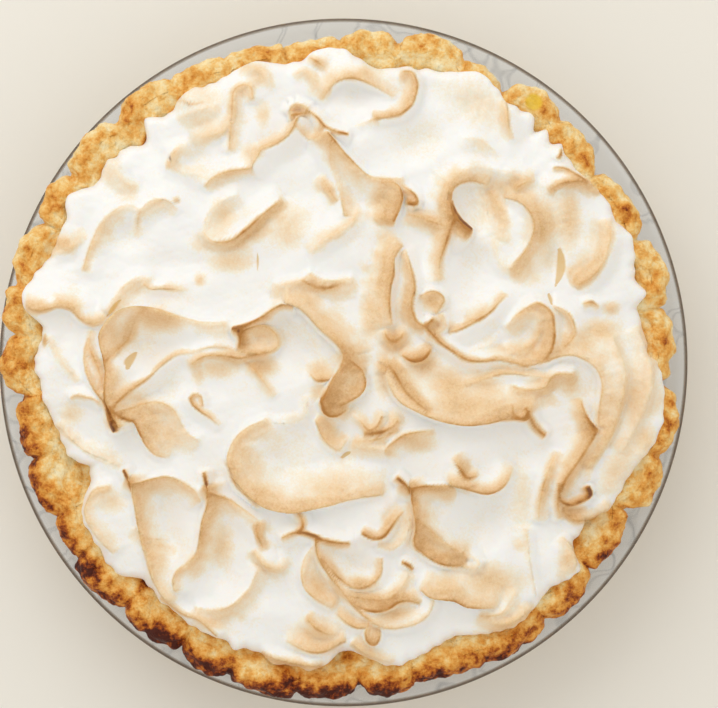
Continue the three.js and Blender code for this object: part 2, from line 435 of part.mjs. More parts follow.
/** Height of the baked pastry rim above the dish's rim, from how far it is in from its edge. */
function pastryRise(inset, fullness) {
  const outward = Math.max(0, 1 - inset / pastryOuterRound);
  const inward = bell(Math.max(0, inset - pastryCrestInset) / pastryInnerSlope);
  const swell = pastryLobeSwell * fullness * bell(Math.max(0, inset - 3) / 9);
  const crest = pastryCrestHeight - pastryLobeSwell + swell;
  return 1.5 + (crest - 1.5) * Math.sqrt(1 - 0.8 * outward * outward) * inward;
}

/** One uneven solid from the dish's floor up over the flange, level under the topping. */
function pastryGeometry() {
  const wallTop = flangeTop - 1.5;
  const rings = [[], [], [], [], [], [], [], [], [], []];
  const visibleSteps = [0.12, 0.35, 0.65, 1];
  for (let i = 0; i < pastrySegments; i += 1) {
    const degrees = (360 * i) / pastrySegments;
    const cos = Math.cos(toRadians(degrees));
    const sin = Math.sin(toRadians(degrees));
    const edge = pastryEdge(degrees);
    const inner = eased(meringueEdge, degrees) + gap;
    const centred = (radius, z) => [radius * cos, radius * sin, z];
    const offset = (radius, z) => [pastryOffset[0] + radius * cos, pastryOffset[1] + radius * sin, z];
    rings[0].push(centred(floorInnerRadius - gap, floorTop + gap));
    rings[1].push(centred(flangeInnerRadius - 1 - 1.5 * gap, wallTop));
    rings[2].push(centred(flangeInnerRadius + 1, flangeTop + gap));
    rings[3].push(offset(edge.radius - 2, dishHeight + gap));
    rings[4].push(offset(edge.radius, dishHeight + 3));
    visibleSteps.forEach((step, index) => {
      const inset = step * (edge.radius - inner);
      rings[5 + index].push(offset(edge.radius - inset, dishHeight + pastryRise(inset, edge.fullness)));
    });
    rings[9].push(offset(inner, fillHeight));
  }
  return shellFromRings([0, 0, floorTop + gap], rings, [0, 0, fillHeight]);
}

// ---------------------------------------------------------------- meringue

/** Points spaced evenly along a ridge's crest, with the rise at each. */
function sampledCrest({ rise, crest }) {
  const curve = new THREE.CatmullRomCurve3(crest.map(([x, y]) => new THREE.Vector3(x, y, 0)), false);
  const steps = Math.max(2, Math.round(curve.getLength() / crestStep));
  const [start, middle, end] = rise;
  return curve.getSpacedPoints(steps).map((point, index) => {
    const along = index / steps;
    const height = start * (1 - along) * (1 - 2 * along)
      + middle * 4 * along * (1 - along) + end * along * (2 * along - 1);
    return { x: point.x, y: point.y, height };
  });
}

/** The nearest place on a sampled crest: distance, height there, and side (1 left, -1 right). */
function nearestOnCrest(samples, x, y) {
  const nearest = { distance: Infinity, height: 0, side: 1 };
  for (let i = 0; i < samples.length - 1; i += 1) {
    const from = samples[i];
    const to = samples[i + 1];
    const run = [to.x - from.x, to.y - from.y];
    const square = run[0] ** 2 + run[1] ** 2;
    const along = ((x - from.x) * run[0] + (y - from.y) * run[1]) / square;
    const held = THREE.MathUtils.clamp(along, 0, 1);
    const away = [x - from.x - held * run[0], y - from.y - held * run[1]];
    const distance = Math.hypot(away[0], away[1]);
    if (distance < nearest.distance) {
      nearest.distance = distance;
      nearest.height = THREE.MathUtils.lerp(from.height, to.height, held);
      nearest.side = (run[0] * away[1] - run[1] * away[0]) / (Math.sqrt(square) * (distance + 1e-6));
    }
  }
  return nearest;
}

const sampledRidges = ridges.map((ridge) => ({ flanks: ridge.flanks, samples: sampledCrest(ridge) }));

/** Height that one ridge adds at a place: sharp at the crest, steep on its short side. */
function ridgeRise({ flanks, samples }, x, y) {
  const nearest = nearestOnCrest(samples, x, y);
  const [left, right] = flanks;
  const leftShare = (1 + nearest.side) / 2;
  const reach = left * leftShare + right * (1 - leftShare);
  const sharpness = (left + right - reach) / (left + right);
  const rounded = Math.hypot(nearest.distance, crestRounding) - crestRounding;
  const away = rounded / (reach + flankMargin);
  if (away >= 1) {
    return 0;
  }
  return nearest.height * ((1 - sharpness) * bell(away) + sharpness * (1 - away) ** 2);
}

/** Ridges joined so that where two meet the surface takes the higher, without a seam. */
function ridgesRise(x, y) {
  const powers = sampledRidges.reduce((sum, ridge) => sum + ridgeRise(ridge, x, y) ** ridgeBlend, 0);
  return powers ** (1 / ridgeBlend);
}

function hollowsDepth(x, y) {
  return hollows.reduce((sum, [middleX, middleY, length, width, degrees, depth]) => {
    const cos = Math.cos(toRadians(degrees));
    const sin = Math.sin(toRadians(degrees));
    const lengthwise = ((x - middleX) * cos + (y - middleY) * sin) / length;
    const across = ((y - middleY) * cos - (x - middleX) * sin) / width;
    return sum + depth * bell(Math.hypot(lengthwise, across) * 0.8);
  }, 0);
}

/**
 * Top of the meringue at a place, share (0 to 1) of the way from the middle to its edge, where
 * it rests at a height on the pastry: a dome with relief that rolls over into a thick lip.
 */
function meringueHeight(x, y, share, restingHeight) {
  const dome = THREE.MathUtils.lerp(meringueMiddleHeight, meringueEdgeHeight, share ** 2);
  const relief = ridgesRise(x, y) - hollowsDepth(x, y);
  const lip = Math.sqrt(1 - share ** lipSharpness);
  return THREE.MathUtils.lerp(restingHeight + lipOverlap, dishHeight + dome + relief, lip);
}

/** Angle and share of the radius for a square grid's place, its squares becoming rings. */
function squareToDisc(column, row) {
  const ring = Math.max(Math.abs(column), Math.abs(row));
  if (ring === 0) {
    return { angle: 0, share: 0 };
  }
  const quarter = Math.PI / 4;
  const angle = Math.abs(column) > Math.abs(row)
    ? quarter * (row / column) + (column < 0 ? Math.PI : 0)
    : 2 * quarter - quarter * (column / row) + (row < 0 ? Math.PI : 0);
  return { angle, share: ring / meringueRings };
}

/** One grid point on the meringue's top surface. */
function meringuePoint(column, row) {
  const { angle, share } = squareToDisc(column, row);
  const degrees = THREE.MathUtils.radToDeg(angle);
  const edgeRadius = eased(meringueEdge, degrees);
  const radius = share * THREE.MathUtils.lerp(meringueMeanRadius, edgeRadius, share ** 4);
  const x = pastryOffset[0] + radius * Math.cos(angle);
  const y = pastryOffset[1] + radius * Math.sin(angle);
  const pastry = pastryEdge(degrees);
  const restingHeight = dishHeight + pastryRise(pastry.radius - edgeRadius, pastry.fullness);
  return [x, y, meringueHeight(x, y, share, restingHeight)];
}

/** The topping as one solid: a square grid bent into a disc, side walls, and a flat underside. */
function meringueGeometry() {
  const size = 2 * meringueRings + 1;
  const positions = [];
  for (let row = -meringueRings; row <= meringueRings; row += 1) {
    for (let column = -meringueRings; column <= meringueRings; column += 1) {
      positions.push(...meringuePoint(column, row));
    }
  }
  const indices = [];
  for (let row = 0; row < size - 1; row += 1) {
    for (let column = 0; column < size - 1; column += 1) {
      const corner = row * size + column;
      const slant = (row < meringueRings) === (column < meringueRings);
      const [a, b, c, d] = [corner, corner + 1, corner + size + 1, corner + size];
      indices.push(...(slant ? [a, b, c, a, c, d] : [a, b, d, b, c, d]));
    }
  }
  const border = [];
  for (let step = 0; step < size - 1; step += 1) {
    border[step] = step;
    border[size - 1 + step] = (step + 1) * size - 1;
    border[2 * (size - 1) + step] = size * size - 1 - step;
    border[3 * (size - 1) + step] = (size - 1 - step) * size;
  }
  const underside = fillHeight + gap;
  const firstLow = positions.length / 3;
  const middle = firstLow + border.length;
  border.forEach((index) => positions.push(positions[3 * index], positions[3 * index + 1], underside));
  positions.push(pastryOffset[0], pastryOffset[1], underside);
  border.forEach((index, step) => {
    const following = (step + 1) % border.length;
    indices.push(index, firstLow + step, firstLow + following);
    indices.push(index, firstLow + following, border[following]);
    indices.push(firstLow + step, middle, firstLow + following);
  });
  return meshGeometry(positions, indices);
}

// ---------------------------------------------------------------- the pie

const glassMaterial = new THREE.MeshStandardMaterial({ color: 0xc9d3d4, roughness: 0.05, metalness: 0 });
const pastryMaterial = new THREE.MeshStandardMaterial({ color: 0xe3b05a, roughness: 0.8, metalness: 0 });
const meringueMaterial = new THREE.MeshStandardMaterial({ color: 0xf5ead8, roughness: 0.6, metalness: 0 });

function namedMesh(name, geometry, material) {
  const mesh = new THREE.Mesh(geometry, material);
  mesh.name = name;
  return mesh;
}

const pie = new THREE.Group();
pie.add(namedMesh('glass_dish', dishGeometry(), glassMaterial));
pie.add(namedMesh('pastry_case', pastryGeometry(), pastryMaterial));
pie.add(namedMesh('meringue', meringueGeometry(), meringueMaterial));

export default pie;
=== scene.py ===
# %% [markdown]
# # A lemon meringue pie in its glass dish
# The pie is seen from straight above: a clear glass dish, a thick crimped edge of golden
# pastry, and a topping of baked egg white whose swirls are white in the scoops and toasted on
# the ridges. Its three solids come from the CAD frame. Here each one is replaced by a finer
# surface of the same size, made with numpy, and gets its finish from shader nodes.

# %% Load the fixed frame
import math

import bpy
import numpy as np
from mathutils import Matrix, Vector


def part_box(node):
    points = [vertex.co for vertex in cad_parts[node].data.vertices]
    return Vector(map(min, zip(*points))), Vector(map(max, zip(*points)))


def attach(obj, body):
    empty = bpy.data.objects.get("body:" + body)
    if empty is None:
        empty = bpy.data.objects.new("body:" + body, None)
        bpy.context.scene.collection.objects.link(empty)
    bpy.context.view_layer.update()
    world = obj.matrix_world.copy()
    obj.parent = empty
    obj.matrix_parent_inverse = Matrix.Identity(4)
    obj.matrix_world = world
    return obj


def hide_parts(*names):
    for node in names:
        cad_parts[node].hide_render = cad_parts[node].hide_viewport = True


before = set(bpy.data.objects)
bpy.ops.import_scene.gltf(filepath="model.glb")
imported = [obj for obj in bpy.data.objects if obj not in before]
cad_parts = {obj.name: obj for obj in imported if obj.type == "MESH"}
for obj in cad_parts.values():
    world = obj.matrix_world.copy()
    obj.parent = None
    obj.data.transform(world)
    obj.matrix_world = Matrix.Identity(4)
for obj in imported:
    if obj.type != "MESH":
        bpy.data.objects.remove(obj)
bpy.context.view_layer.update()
print("frame nodes:", sorted(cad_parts))

# %% [markdown]
# ## Driving sizes
# Every size is in millimetres until a mesh is made, because food is easier to think of in
# millimetres. The dish's radius and height are read from the frame. The rest are the same
# named sizes that the solids use, so both models agree.

# %% Sizes read from the frame and named sizes
MM = 0.001
_, dish_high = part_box("glass_dish")
RIM_RADIUS = dish_high.x / MM
RIM_HEIGHT = dish_high.z / MM
FLANGE_WIDTH = 11.5
FLANGE_BELOW_RIM = 0.6
FLANGE_THICKNESS = 2.8
FLANGE_INNER_RADIUS = RIM_RADIUS - FLANGE_WIDTH
FLANGE_TOP = RIM_HEIGHT - FLANGE_BELOW_RIM
BEAD_RADIUS = 1.4
BASE_RADIUS = 85.0
GLASS_THICKNESS = 4.5
PIE_CENTRE = np.array([0.5, -0.2])
FILL_ABOVE_RIM = 2.0
FILL_HEIGHT = RIM_HEIGHT + FILL_ABOVE_RIM
print(f"dish: {2 * RIM_RADIUS:.1f} mm across, {RIM_HEIGHT:.1f} mm high")

# %% [markdown]
# ## Helpers for surfaces
# A surface here is a grid of points: its rows and columns are the two parameters of the
# shape. Uneven food needs soft randomness too. Two kinds are enough: a sum of sine waves in
# random directions for slow swelling, and the distance to scattered points for blisters.

# %% Grid meshes, outlines and two kinds of noise
# Large primes that mix a cube's three whole-number places into one number, and others that
# turn this number into three shares of the cube's side.
MIXING_PRIMES = (73856093, 19349663, 83492791)
SHARE_PRIMES = (7919, 104729, 15485863)
SHARE_RANGE = 65521


def closed_grid_faces(rows, columns):
    """Quads of a grid whose last column joins its first: each quad takes four neighbours."""
    row, column = np.meshgrid(np.arange(rows - 1), np.arange(columns), indexing="ij")
    beside = (column + 1) % columns
    quads = [row * columns + column, row * columns + beside,
             (row + 1) * columns + beside, (row + 1) * columns + column]
    return np.stack(quads, axis=-1).reshape(-1, 4)


def make_piece(name, points_mm, faces, attributes):
    """Builds a smooth mesh object from points in millimetres, a list of faces, and numbers
    that are stored on its points under a name each."""
    mesh = bpy.data.meshes.new(name)
    mesh.from_pydata((np.asarray(points_mm) * MM).tolist(), [], faces)
    mesh.polygons.foreach_set("use_smooth", np.ones(len(mesh.polygons), bool))
    for label, values in attributes.items():
        layer = mesh.attributes.new(label, "FLOAT", "POINT")
        layer.data.foreach_set("value", np.asarray(values, np.float32).ravel())
    mesh.update()
    piece = bpy.data.objects.new(name, mesh)
    bpy.context.scene.collection.objects.link(piece)
    triangles = sum(len(face) - 2 for face in faces)
    print(f"{name}: {len(points_mm)} points, {triangles} triangles")
    return piece


def place_between(angles, degrees):
    """For each direction: the index of the last of the rising angles that comes before it,
    and how far it has gone from that angle (0) to the next one (1)."""
    wrapped = (degrees - angles[0]) % 360 + angles[0]
    index = np.clip(np.searchsorted(angles, wrapped, side="right") - 1, 0, len(angles) - 2)
    return index, (wrapped - angles[index]) / (angles[index + 1] - angles[index])


def eased(turning_points, degrees):
    """Value of a closed outline: between two turning points it follows half a cosine wave."""
    angles, values = np.array(turning_points, float).T
    index, way = place_between(angles, degrees)
    step = (1 - np.cos(np.pi * way)) / 2
    return values[index] + (values[index + 1] - values[index]) * step


def bell(distance):
    """A cosine bell: 1 in the middle, 0 from distance 1 outwards."""
    return 0.5 + 0.5 * np.cos(np.pi * np.clip(distance, 0, 1))


def smooth_step(low, high, values):
    """0 below low, 1 above high, and the curve 3t^2 - 2t^3 between them."""
    t = np.clip((values - low) / (high - low), 0, 1)
    return t * t * (3 - 2 * t)


def waves(points, size, seed, count=20):
    """Sum of sine waves about size mm long in random directions, scaled to about -1 to 1."""
    random = np.random.default_rng(seed)
    total = np.zeros(points.shape[:-1])
    for _ in range(count):
        direction = random.normal(size=points.shape[-1])
        direction /= np.linalg.norm(direction)
        turn = 2 * np.pi / (size * random.uniform(0.7, 1.5))
        total += np.sin(points @ direction * turn + random.uniform(0, 2 * np.pi))
    return total / math.sqrt(count)


def layered_waves(points, *layers, base=0.0):
    """The base plus waves of several sizes: each layer is a strength, a size and a seed."""
    return sum((strength * waves(points, size, seed) for strength, size, seed in layers), base)


def blisters(points, size, seed):
    """1 at scattered centres, falling to 0 between them: one minus the squared distance to the
    nearest of one random point in every cube of side size."""
    cell = np.floor(points / size).astype(np.int64)
    nearest = np.full(points.shape[:-1], np.inf)
    for step in np.ndindex(3, 3, 3):
        near = cell + np.array(step) - 1
        key = seed
        for axis, prime in enumerate(MIXING_PRIMES):
            key = key ^ near[..., axis] * prime
        shift = np.stack([(key * prime) % SHARE_RANGE / SHARE_RANGE for prime in SHARE_PRIMES], -1)
        away = (near + shift) - points / size
        nearest = np.minimum(nearest, np.sum(away * away, axis=-1))
    return np.clip(1 - nearest, 0, 1)


# %% [markdown]
# ## Helpers for materials
# A finish is a chain of shader nodes. These short functions add one node each, so that a
# material reads as a list of steps. Colours are written the way a paint chart gives them, as
# hexadecimal, and turned into the linear values that the shader works with.

# %% Colours and shader nodes
def colour(code):
    """Linear red, green, blue and alpha from a hexadecimal sRGB code."""
    parts = [int(code[i:i + 2], 16) / 255 for i in (0, 2, 4)]
    linear = [p / 12.92 if p <= 0.04045 else ((p + 0.055) / 1.055) ** 2.4 for p in parts]
    return (*linear, 1.0)


class Finish:
    """A new material with its main shader, and short calls that add and join nodes."""

    # A mix node has a set of sockets for each kind of value. These are the colours' own.
    MIX_FIRST, MIX_SECOND, MIX_RESULT = 6, 7, 2

    def __init__(self, name):
        self.material = bpy.data.materials.new(name)
        self.material.use_nodes = True
        self.nodes = self.material.node_tree.nodes
        self.links = self.material.node_tree.links
        self.shader = self.nodes["Principled BSDF"]
        self.place = self.nodes.new("ShaderNodeTexCoord").outputs["Object"]

    def join(self, value, socket):
        """Links an output to a socket, or sets the socket where value is a plain number."""
        if isinstance(value, bpy.types.NodeSocket):
            self.links.new(value, socket)
        else:
            socket.default_value = value

    def attribute(self, name):
        """Output of a per-point number stored on the mesh."""
        node = self.nodes.new("ShaderNodeAttribute")
        node.attribute_name = name
        return node.outputs["Fac"]

    def noise(self, size_mm, detail=4.0, roughness=0.55):
        """Cloudy noise with features about size_mm wide."""
        node = self.nodes.new("ShaderNodeTexNoise")
        node.inputs["Scale"].default_value = 1 / (size_mm * MM)
        node.inputs["Detail"].default_value = detail
        node.inputs["Roughness"].default_value = roughness
        self.links.new(self.place, node.inputs["Vector"])
        return node.outputs["Fac"]

    def cells(self, size_mm):
        """Distance to scattered points about size_mm apart."""
        node = self.nodes.new("ShaderNodeTexVoronoi")
        node.inputs["Scale"].default_value = 1 / (size_mm * MM)
        self.links.new(self.place, node.inputs["Vector"])
        return node.outputs["Distance"]

    def math(self, operation, a, b=0.0):
        """One sum of two numbers."""
        node = self.nodes.new("ShaderNodeMath")
        node.operation = operation
        self.join(a, node.inputs[0])
        self.join(b, node.inputs[1])
        return node.outputs[0]

    def total(self, first, *others):
        """All the numbers added up, one node for each plus sign."""
        for value in others:
            first = self.math("ADD", first, value)
        return first

    def product(self, first, *others):
        """All the numbers multiplied, one node for each times sign."""
        for value in others:
            first = self.math("MULTIPLY", first, value)
        return first

    def spread(self, value, source, target):
        """Maps the range source, (low, high), smoothly to the range target."""
        node = self.nodes.new("ShaderNodeMapRange")
        node.interpolation_type = "SMOOTHSTEP"
        for socket, number in zip(list(node.inputs)[1:5], (*source, *target)):
            socket.default_value = number
        self.join(value, node.inputs[0])
        return node.outputs[0]

    def ramp(self, value, stops):
        """A colour for each value: stops are pairs of position and hexadecimal colour."""
        node = self.nodes.new("ShaderNodeValToRGB")
        elements = node.color_ramp.elements
        while len(elements) < len(stops):
            elements.new(0.5)
        for element, (position, code) in zip(elements, stops):
            element.position = position
            element.color = colour(code)
        self.join(value, node.inputs["Fac"])
        return node.outputs["Color"]

    def mix(self, share, first, second):
        """Blend from the first colour to the second: a share of 0 to 1 of the second."""
        node = self.nodes.new("ShaderNodeMix")
        node.data_type = "RGBA"
        self.join(share, node.inputs[0])
        for shade, number in ((first, self.MIX_FIRST), (second, self.MIX_SECOND)):
            self.join(colour(shade) if isinstance(shade, str) else shade, node.inputs[number])
        return node.outputs[self.MIX_RESULT]

    def bump(self, height, distance_mm, strength, below=None):
        """Small relief: a height of 1 stands distance_mm above a height of 0. It can stand on
        the relief of another bump, which lies below."""
        node = self.nodes.new("ShaderNodeBump")
        node.inputs["Distance"].default_value = distance_mm * MM
        node.inputs["Strength"].default_value = strength
        self.join(height, node.inputs["Height"])
        if below is not None:
            self.links.new(below, node.inputs["Normal"])
        return node.outputs["Normal"]


# %% [markdown]
# ## Glass dish
# The dish is one turned shape: a flat floor, a wall that leans out by about thirty degrees, a
# flat flange and a rolled bead at the rim. It could be a spun curve with bevels. A section
# with rounded corners, carried round the axis as one array, gives the same form and keeps
# the poles closed.

# %% Turn the dish's section round its axis
ARC_POINTS = 7
TURNED_COLUMNS = 288
WALL_LEAN = 0.6535
BASE_CORNER_RADIUS = BASE_RADIUS + 1.5
BASE_ROUNDING = 3.2
FLANGE_UNDER_ROUNDING = 2.6
FLANGE_OVER_ROUNDING = 2.2
FLOOR_ROUNDING = 5.0
FLOOR_RADIUS = BASE_RADIUS - 2.7
BEAD_FOOT_OUTSIDE = 3.2
BEAD_FOOT_INSIDE = 4.2
BEAD_TURN = (-125, 140)
BEAD_POINTS = 26
RIM_LINE_WIDTH = 1.8


def rounded_section(corners):
    """Replaces each corner (radius, height, rounding) by an arc that touches both its sides."""
    section = [np.array(corners[0][:2], float)]
    for before, (x, z, rounding), after in zip(corners, corners[1:-1], corners[2:]):
        corner = np.array([x, z])
        back = np.array(before[:2]) - corner
        forth = np.array(after[:2]) - corner
        back /= np.linalg.norm(back)
        forth /= np.linalg.norm(forth)
        half = math.acos(np.clip(back @ forth, -1, 1)) / 2
        middle_way = (back + forth) / np.linalg.norm(back + forth)
        centre = corner + middle_way * rounding / math.sin(half)
        start = corner + back * rounding / math.tan(half) - centre
        end = corner + forth * rounding / math.tan(half) - centre
        for step in np.linspace(0, 1, ARC_POINTS):
            spoke = start * (1 - step) + end * step
            section.append(centre + spoke / np.linalg.norm(spoke) * rounding)
    section.append(np.array(corners[-1][:2], float))
    return np.array(section)


def turned(section):
    """Points and faces of a section whose two ends lie on the axis, carried round it."""
    columns = TURNED_COLUMNS
    angle = np.linspace(0, 2 * np.pi, columns, endpoint=False)
    radius, height = section[1:-1].T
    ring = np.stack([radius[:, None] * np.cos(angle), radius[:, None] * np.sin(angle),
                     height[:, None] + 0 * angle], axis=-1).reshape(-1, 3)
    rows = len(section) - 2
    first, last = rows * columns, rows * columns + 1
    points = np.vstack([ring, [[0, 0, section[0, 1]], [0, 0, section[-1, 1]]]])
    column = np.arange(columns)
    beside = (column + 1) % columns
    low_fan = np.stack([np.full(columns, first), beside, column], axis=-1)
    top = (rows - 1) * columns
    high_fan = np.stack([np.full(columns, last), top + column, top + beside], axis=-1)
    faces = closed_grid_faces(rows, columns).tolist() + low_fan.tolist() + high_fan.tolist()
    return points, faces


def dish_section():
    """The dish's section from the middle of its base, out, round the bead and back in."""
    flange_bottom = FLANGE_TOP - FLANGE_THICKNESS
    wall_top_radius = BASE_CORNER_RADIUS + WALL_LEAN * flange_bottom
    outer = rounded_section([(0, 0), (BASE_CORNER_RADIUS, 0, BASE_ROUNDING),
                             (wall_top_radius, flange_bottom, FLANGE_UNDER_ROUNDING),
                             (RIM_RADIUS - BEAD_FOOT_OUTSIDE, flange_bottom)])
    turn = np.radians(np.linspace(*BEAD_TURN, BEAD_POINTS))
    bead = np.stack([RIM_RADIUS - BEAD_RADIUS + BEAD_RADIUS * np.cos(turn),
                     RIM_HEIGHT - BEAD_RADIUS + BEAD_RADIUS * np.sin(turn)], axis=-1)
    inner = rounded_section([(RIM_RADIUS - BEAD_FOOT_INSIDE, FLANGE_TOP),
                             (FLANGE_INNER_RADIUS + 0.3, FLANGE_TOP, FLANGE_OVER_ROUNDING),
                             (FLOOR_RADIUS, GLASS_THICKNESS, FLOOR_ROUNDING), (0, GLASS_THICKNESS)])
    return np.vstack([outer, bead, inner])


dish_points, dish_faces = turned(dish_section())
# How near the rim each point lies: the glass finish paints a brown refraction line there.
rim = bell((RIM_RADIUS - np.hypot(dish_points[:, 0], dish_points[:, 1])) / RIM_LINE_WIDTH)
dish = make_piece("clear_glass_dish", dish_points, dish_faces, {"rim": rim})

# %% [markdown]
# ## Clear glass
# Pressed glass is clear, a little grey-blue where it is thick, and its surface is never
# perfectly even. The main shader passes light with the index of glass, and a slow noise
# gives it the faint waves of moulding, with soft smears that make it a touch rougher. Most
# light goes straight through, so a transparent shader takes the larger share. Thin darker
# lines, where a slow noise crosses its middle value, are painted refraction lines and pass
# less of it, and so does the rim, where a brown line is a painted refraction of dark
# surroundings in its rounded edge.

# %% Glass finish
GLASS_INDEX = 1.5
STRAIGHT_THROUGH = 0.7
NOISE_MIDDLE = 0.5
# Colour of the clear glass, of its painted refraction lines, and of the painted refraction of dark
# surroundings in the rim's rounded edge.
CLEAR, PAINTED_REFRACTION_LINE, RIM_PAINTED_REFRACTION = "F4F7FC", "98A0AE", "8C7660"

glass = Finish("pressed_clear_glass")
glass.shader.inputs["Base Color"].default_value = colour("FCFEFF")
glass.shader.inputs["Transmission Weight"].default_value = 1.0
glass.shader.inputs["IOR"].default_value = GLASS_INDEX
smears = glass.noise(14, detail=3)
glass.join(glass.spread(smears, (0.4, 0.75), (0.015, 0.09)), glass.shader.inputs["Roughness"])
moulding = glass.bump(glass.noise(9, detail=2), distance_mm=0.4, strength=0.6)
glass.join(moulding, glass.shader.inputs["Normal"])
# Painted refraction lines: thin darker lines where a slow noise crosses its middle value.
painted_refraction_lines = glass.noise(15, detail=1, roughness=0.4)
painted_refraction_lines = glass.math("ABSOLUTE", glass.math("SUBTRACT", painted_refraction_lines, NOISE_MIDDLE))
passing = glass.mix(glass.spread(painted_refraction_lines, (0.0, 0.03), (0.34, 0)), CLEAR, PAINTED_REFRACTION_LINE)
# At the rim the glass passes a brown painted refraction of dark surroundings.
at_rim = glass.spread(glass.attribute("rim"), (0.15, 0.6), (0, 0.85))
passing = glass.mix(at_rim, passing, RIM_PAINTED_REFRACTION)
clear = glass.nodes.new("ShaderNodeBsdfTransparent")
glass.join(passing, clear.inputs["Color"])
both = glass.nodes.new("ShaderNodeMixShader")
both.inputs[0].default_value = STRAIGHT_THROUGH
glass.join(glass.shader.outputs[0], both.inputs[1])
glass.join(clear.outputs[0], both.inputs[2])
glass.join(both.outputs[0], glass.nodes["Material Output"].inputs["Surface"])
dish.data.materials.append(glass.material)

# %% [markdown]
# ## Pastry edge
# The edge is a thick rope of dough, pinched by finger and thumb, so it swells into lobes
# between notches. Left to itself a scallop formula would look stamped: on a real pie every
# lobe has its own width and reach. So the notches and lobes are stated one by one, and the
# surface eases between them. Baking then blisters it, which is relief on several scales, and
# each pinch leaves a crease.

# %% The crimps, and the section of the edge
# Angle and radius of each pinched notch, then of the lobe after it.
CRIMPS = [
    (-3.5, 108.5, 4, 113.5), (10, 110, 16.5, 114.5), (23, 110, 29, 113), (37, 108, 45, 113),
    (48.5, 112, 53.5, 115), (60, 108, 65, 112.5), (68.5, 112, 74.5, 116.5), (80.5, 111, 85, 114.5),
    (91, 111, 95, 111.5), (101, 110.5, 107.5, 113.5), (111.5, 112.5, 118.5, 115),
    (121.5, 114.5, 127.5, 117.5), (133.5, 114, 140.5, 118.5), (145.5, 113.5, 150, 118),
    (155, 114, 160.5, 119), (166.5, 116, 170, 118.5), (175, 114, 180.5, 118), (186, 111.5, 191, 114),
    (197, 112.5, 201, 115.5), (208, 112, 213, 114.5), (216, 114.5, 221, 116.5), (228, 113.5, 233, 116),
    (240, 112.5, 246, 116.5), (249.5, 114.5, 256, 117.5), (261.5, 114.5, 265.5, 115.5),
    (272.5, 111, 278, 115), (282.5, 112, 289, 113.5), (295, 114, 301, 115), (308, 112, 313.5, 114.5),
    (320, 109.5, 326.5, 112.5), (332.5, 107.5, 339, 115.5), (343.5, 113, 349.5, 116),
]
# Where the meringue ends on the pastry: angle and radius of each turn of its wavy edge.
MERINGUE_EDGE = [
    (0, 107), (1.5, 104), (10, 101.5), (13.5, 105.5), (15.5, 103.5), (23.5, 107), (28, 104.5),
    (31, 105.5), (41, 103), (45, 104.5), (46.5, 103.5), (49, 105), (50.5, 103), (52.5, 106),
    (57.5, 105), (64.5, 109), (72.5, 105), (78, 103.5), (83.5, 101.5), (92, 108), (100.5, 104),
    (107.5, 107.5), (115.5, 105.5), (120, 107), (125.5, 104.5), (129, 107.5), (132.3, 101.3),
    (135.5, 105), (140.5, 106.5), (144, 105), (149, 110), (153.5, 107), (158, 107), (169, 112.5),
    (174, 104), (180, 106), (186, 104), (192, 101.5), (198, 100), (202.5, 95), (212, 104.5), (222, 106),
    (227.5, 101.5), (233.5, 103), (242.5, 104), (245.5, 103.5), (249.5, 104.5), (252.5, 103),
    (257.5, 106), (260, 105), (263.5, 105.5), (271, 98.5), (279.5, 105), (284.5, 103.5), (290.5, 101),
    (304, 107), (312.5, 104.5), (318.5, 107), (322, 98.5), (324, 99.5), (326.5, 98.5), (332, 103.5),
    (336, 104), (350, 110.5), (355, 109.5), (360, 107),
]
PASTRY_CREST = 10.0
LOBE_SWELL = 2.2
SWELL_INSET = 3.0
SWELL_REACH = 9.0
LOBE_FULLNESS = 0.6
PINCH_DEPTH = 4.5
OUTER_ROUND = 6.0
CREST_INSET = 7.0
INNER_SLOPE = 15.0

pastry_outline = [pair for crimp in CRIMPS for pair in (crimp[:2], crimp[2:])]
pastry_outline.append((CRIMPS[0][0] + 360, CRIMPS[0][1]))


def crimped(degrees):
    """Outer radius of the edge and its fullness, 1 on a lobe and less in a notch. Each lobe is
    an arch, (1 - (1 - t)^2)^0.6, steep at the notch and level at its middle."""
    angles, radii = np.array(pastry_outline, float).T
    index, way = place_between(angles, degrees)
    swelling = index % 2 == 0
    notch = np.where(swelling, radii[index], radii[index + 1])
    lobe = np.where(swelling, radii[index + 1], radii[index])
    arch = (1 - np.where(swelling, 1 - way, way) ** 2) ** LOBE_FULLNESS
    pinch = np.clip((lobe - notch) / PINCH_DEPTH, 0, 1)
    return notch + (lobe - notch) * arch, 1 - (1 - arch) * pinch


def pastry_height(inset, fullness):
    """Height of the edge above the dish's rim: an ellipse at its outer side, a level crest,
    and a cosine slope towards the filling; notches are lower near the outer side."""
    swell = LOBE_SWELL * fullness * bell((inset - SWELL_INSET) / SWELL_REACH)
    crest = PASTRY_CREST - LOBE_SWELL + swell
    outward = np.clip(1 - inset / OUTER_ROUND, 0, 1)
    return crest * (0.5 + 0.5 * np.sqrt(1 - outward ** 2)) * bell((inset - CREST_INSET) / INNER_SLOPE)


# %% Grid of the edge: round the pie, and round its section
EDGE_COLUMNS = 1080
EDGE_ROWS = 88
# How far round the section the part under the lobe ends, then the round side, then the top.
UNDER_END, ROUND_END, TOP_END = 0.06, 0.34, 0.92
ROUND_TURN = (-80, 90)
FOOT_INSET = 2.0
RETURN_INSET = 8.0
RING_ABOVE_RIM = 0.2
UNDER_MERINGUE = 3.5


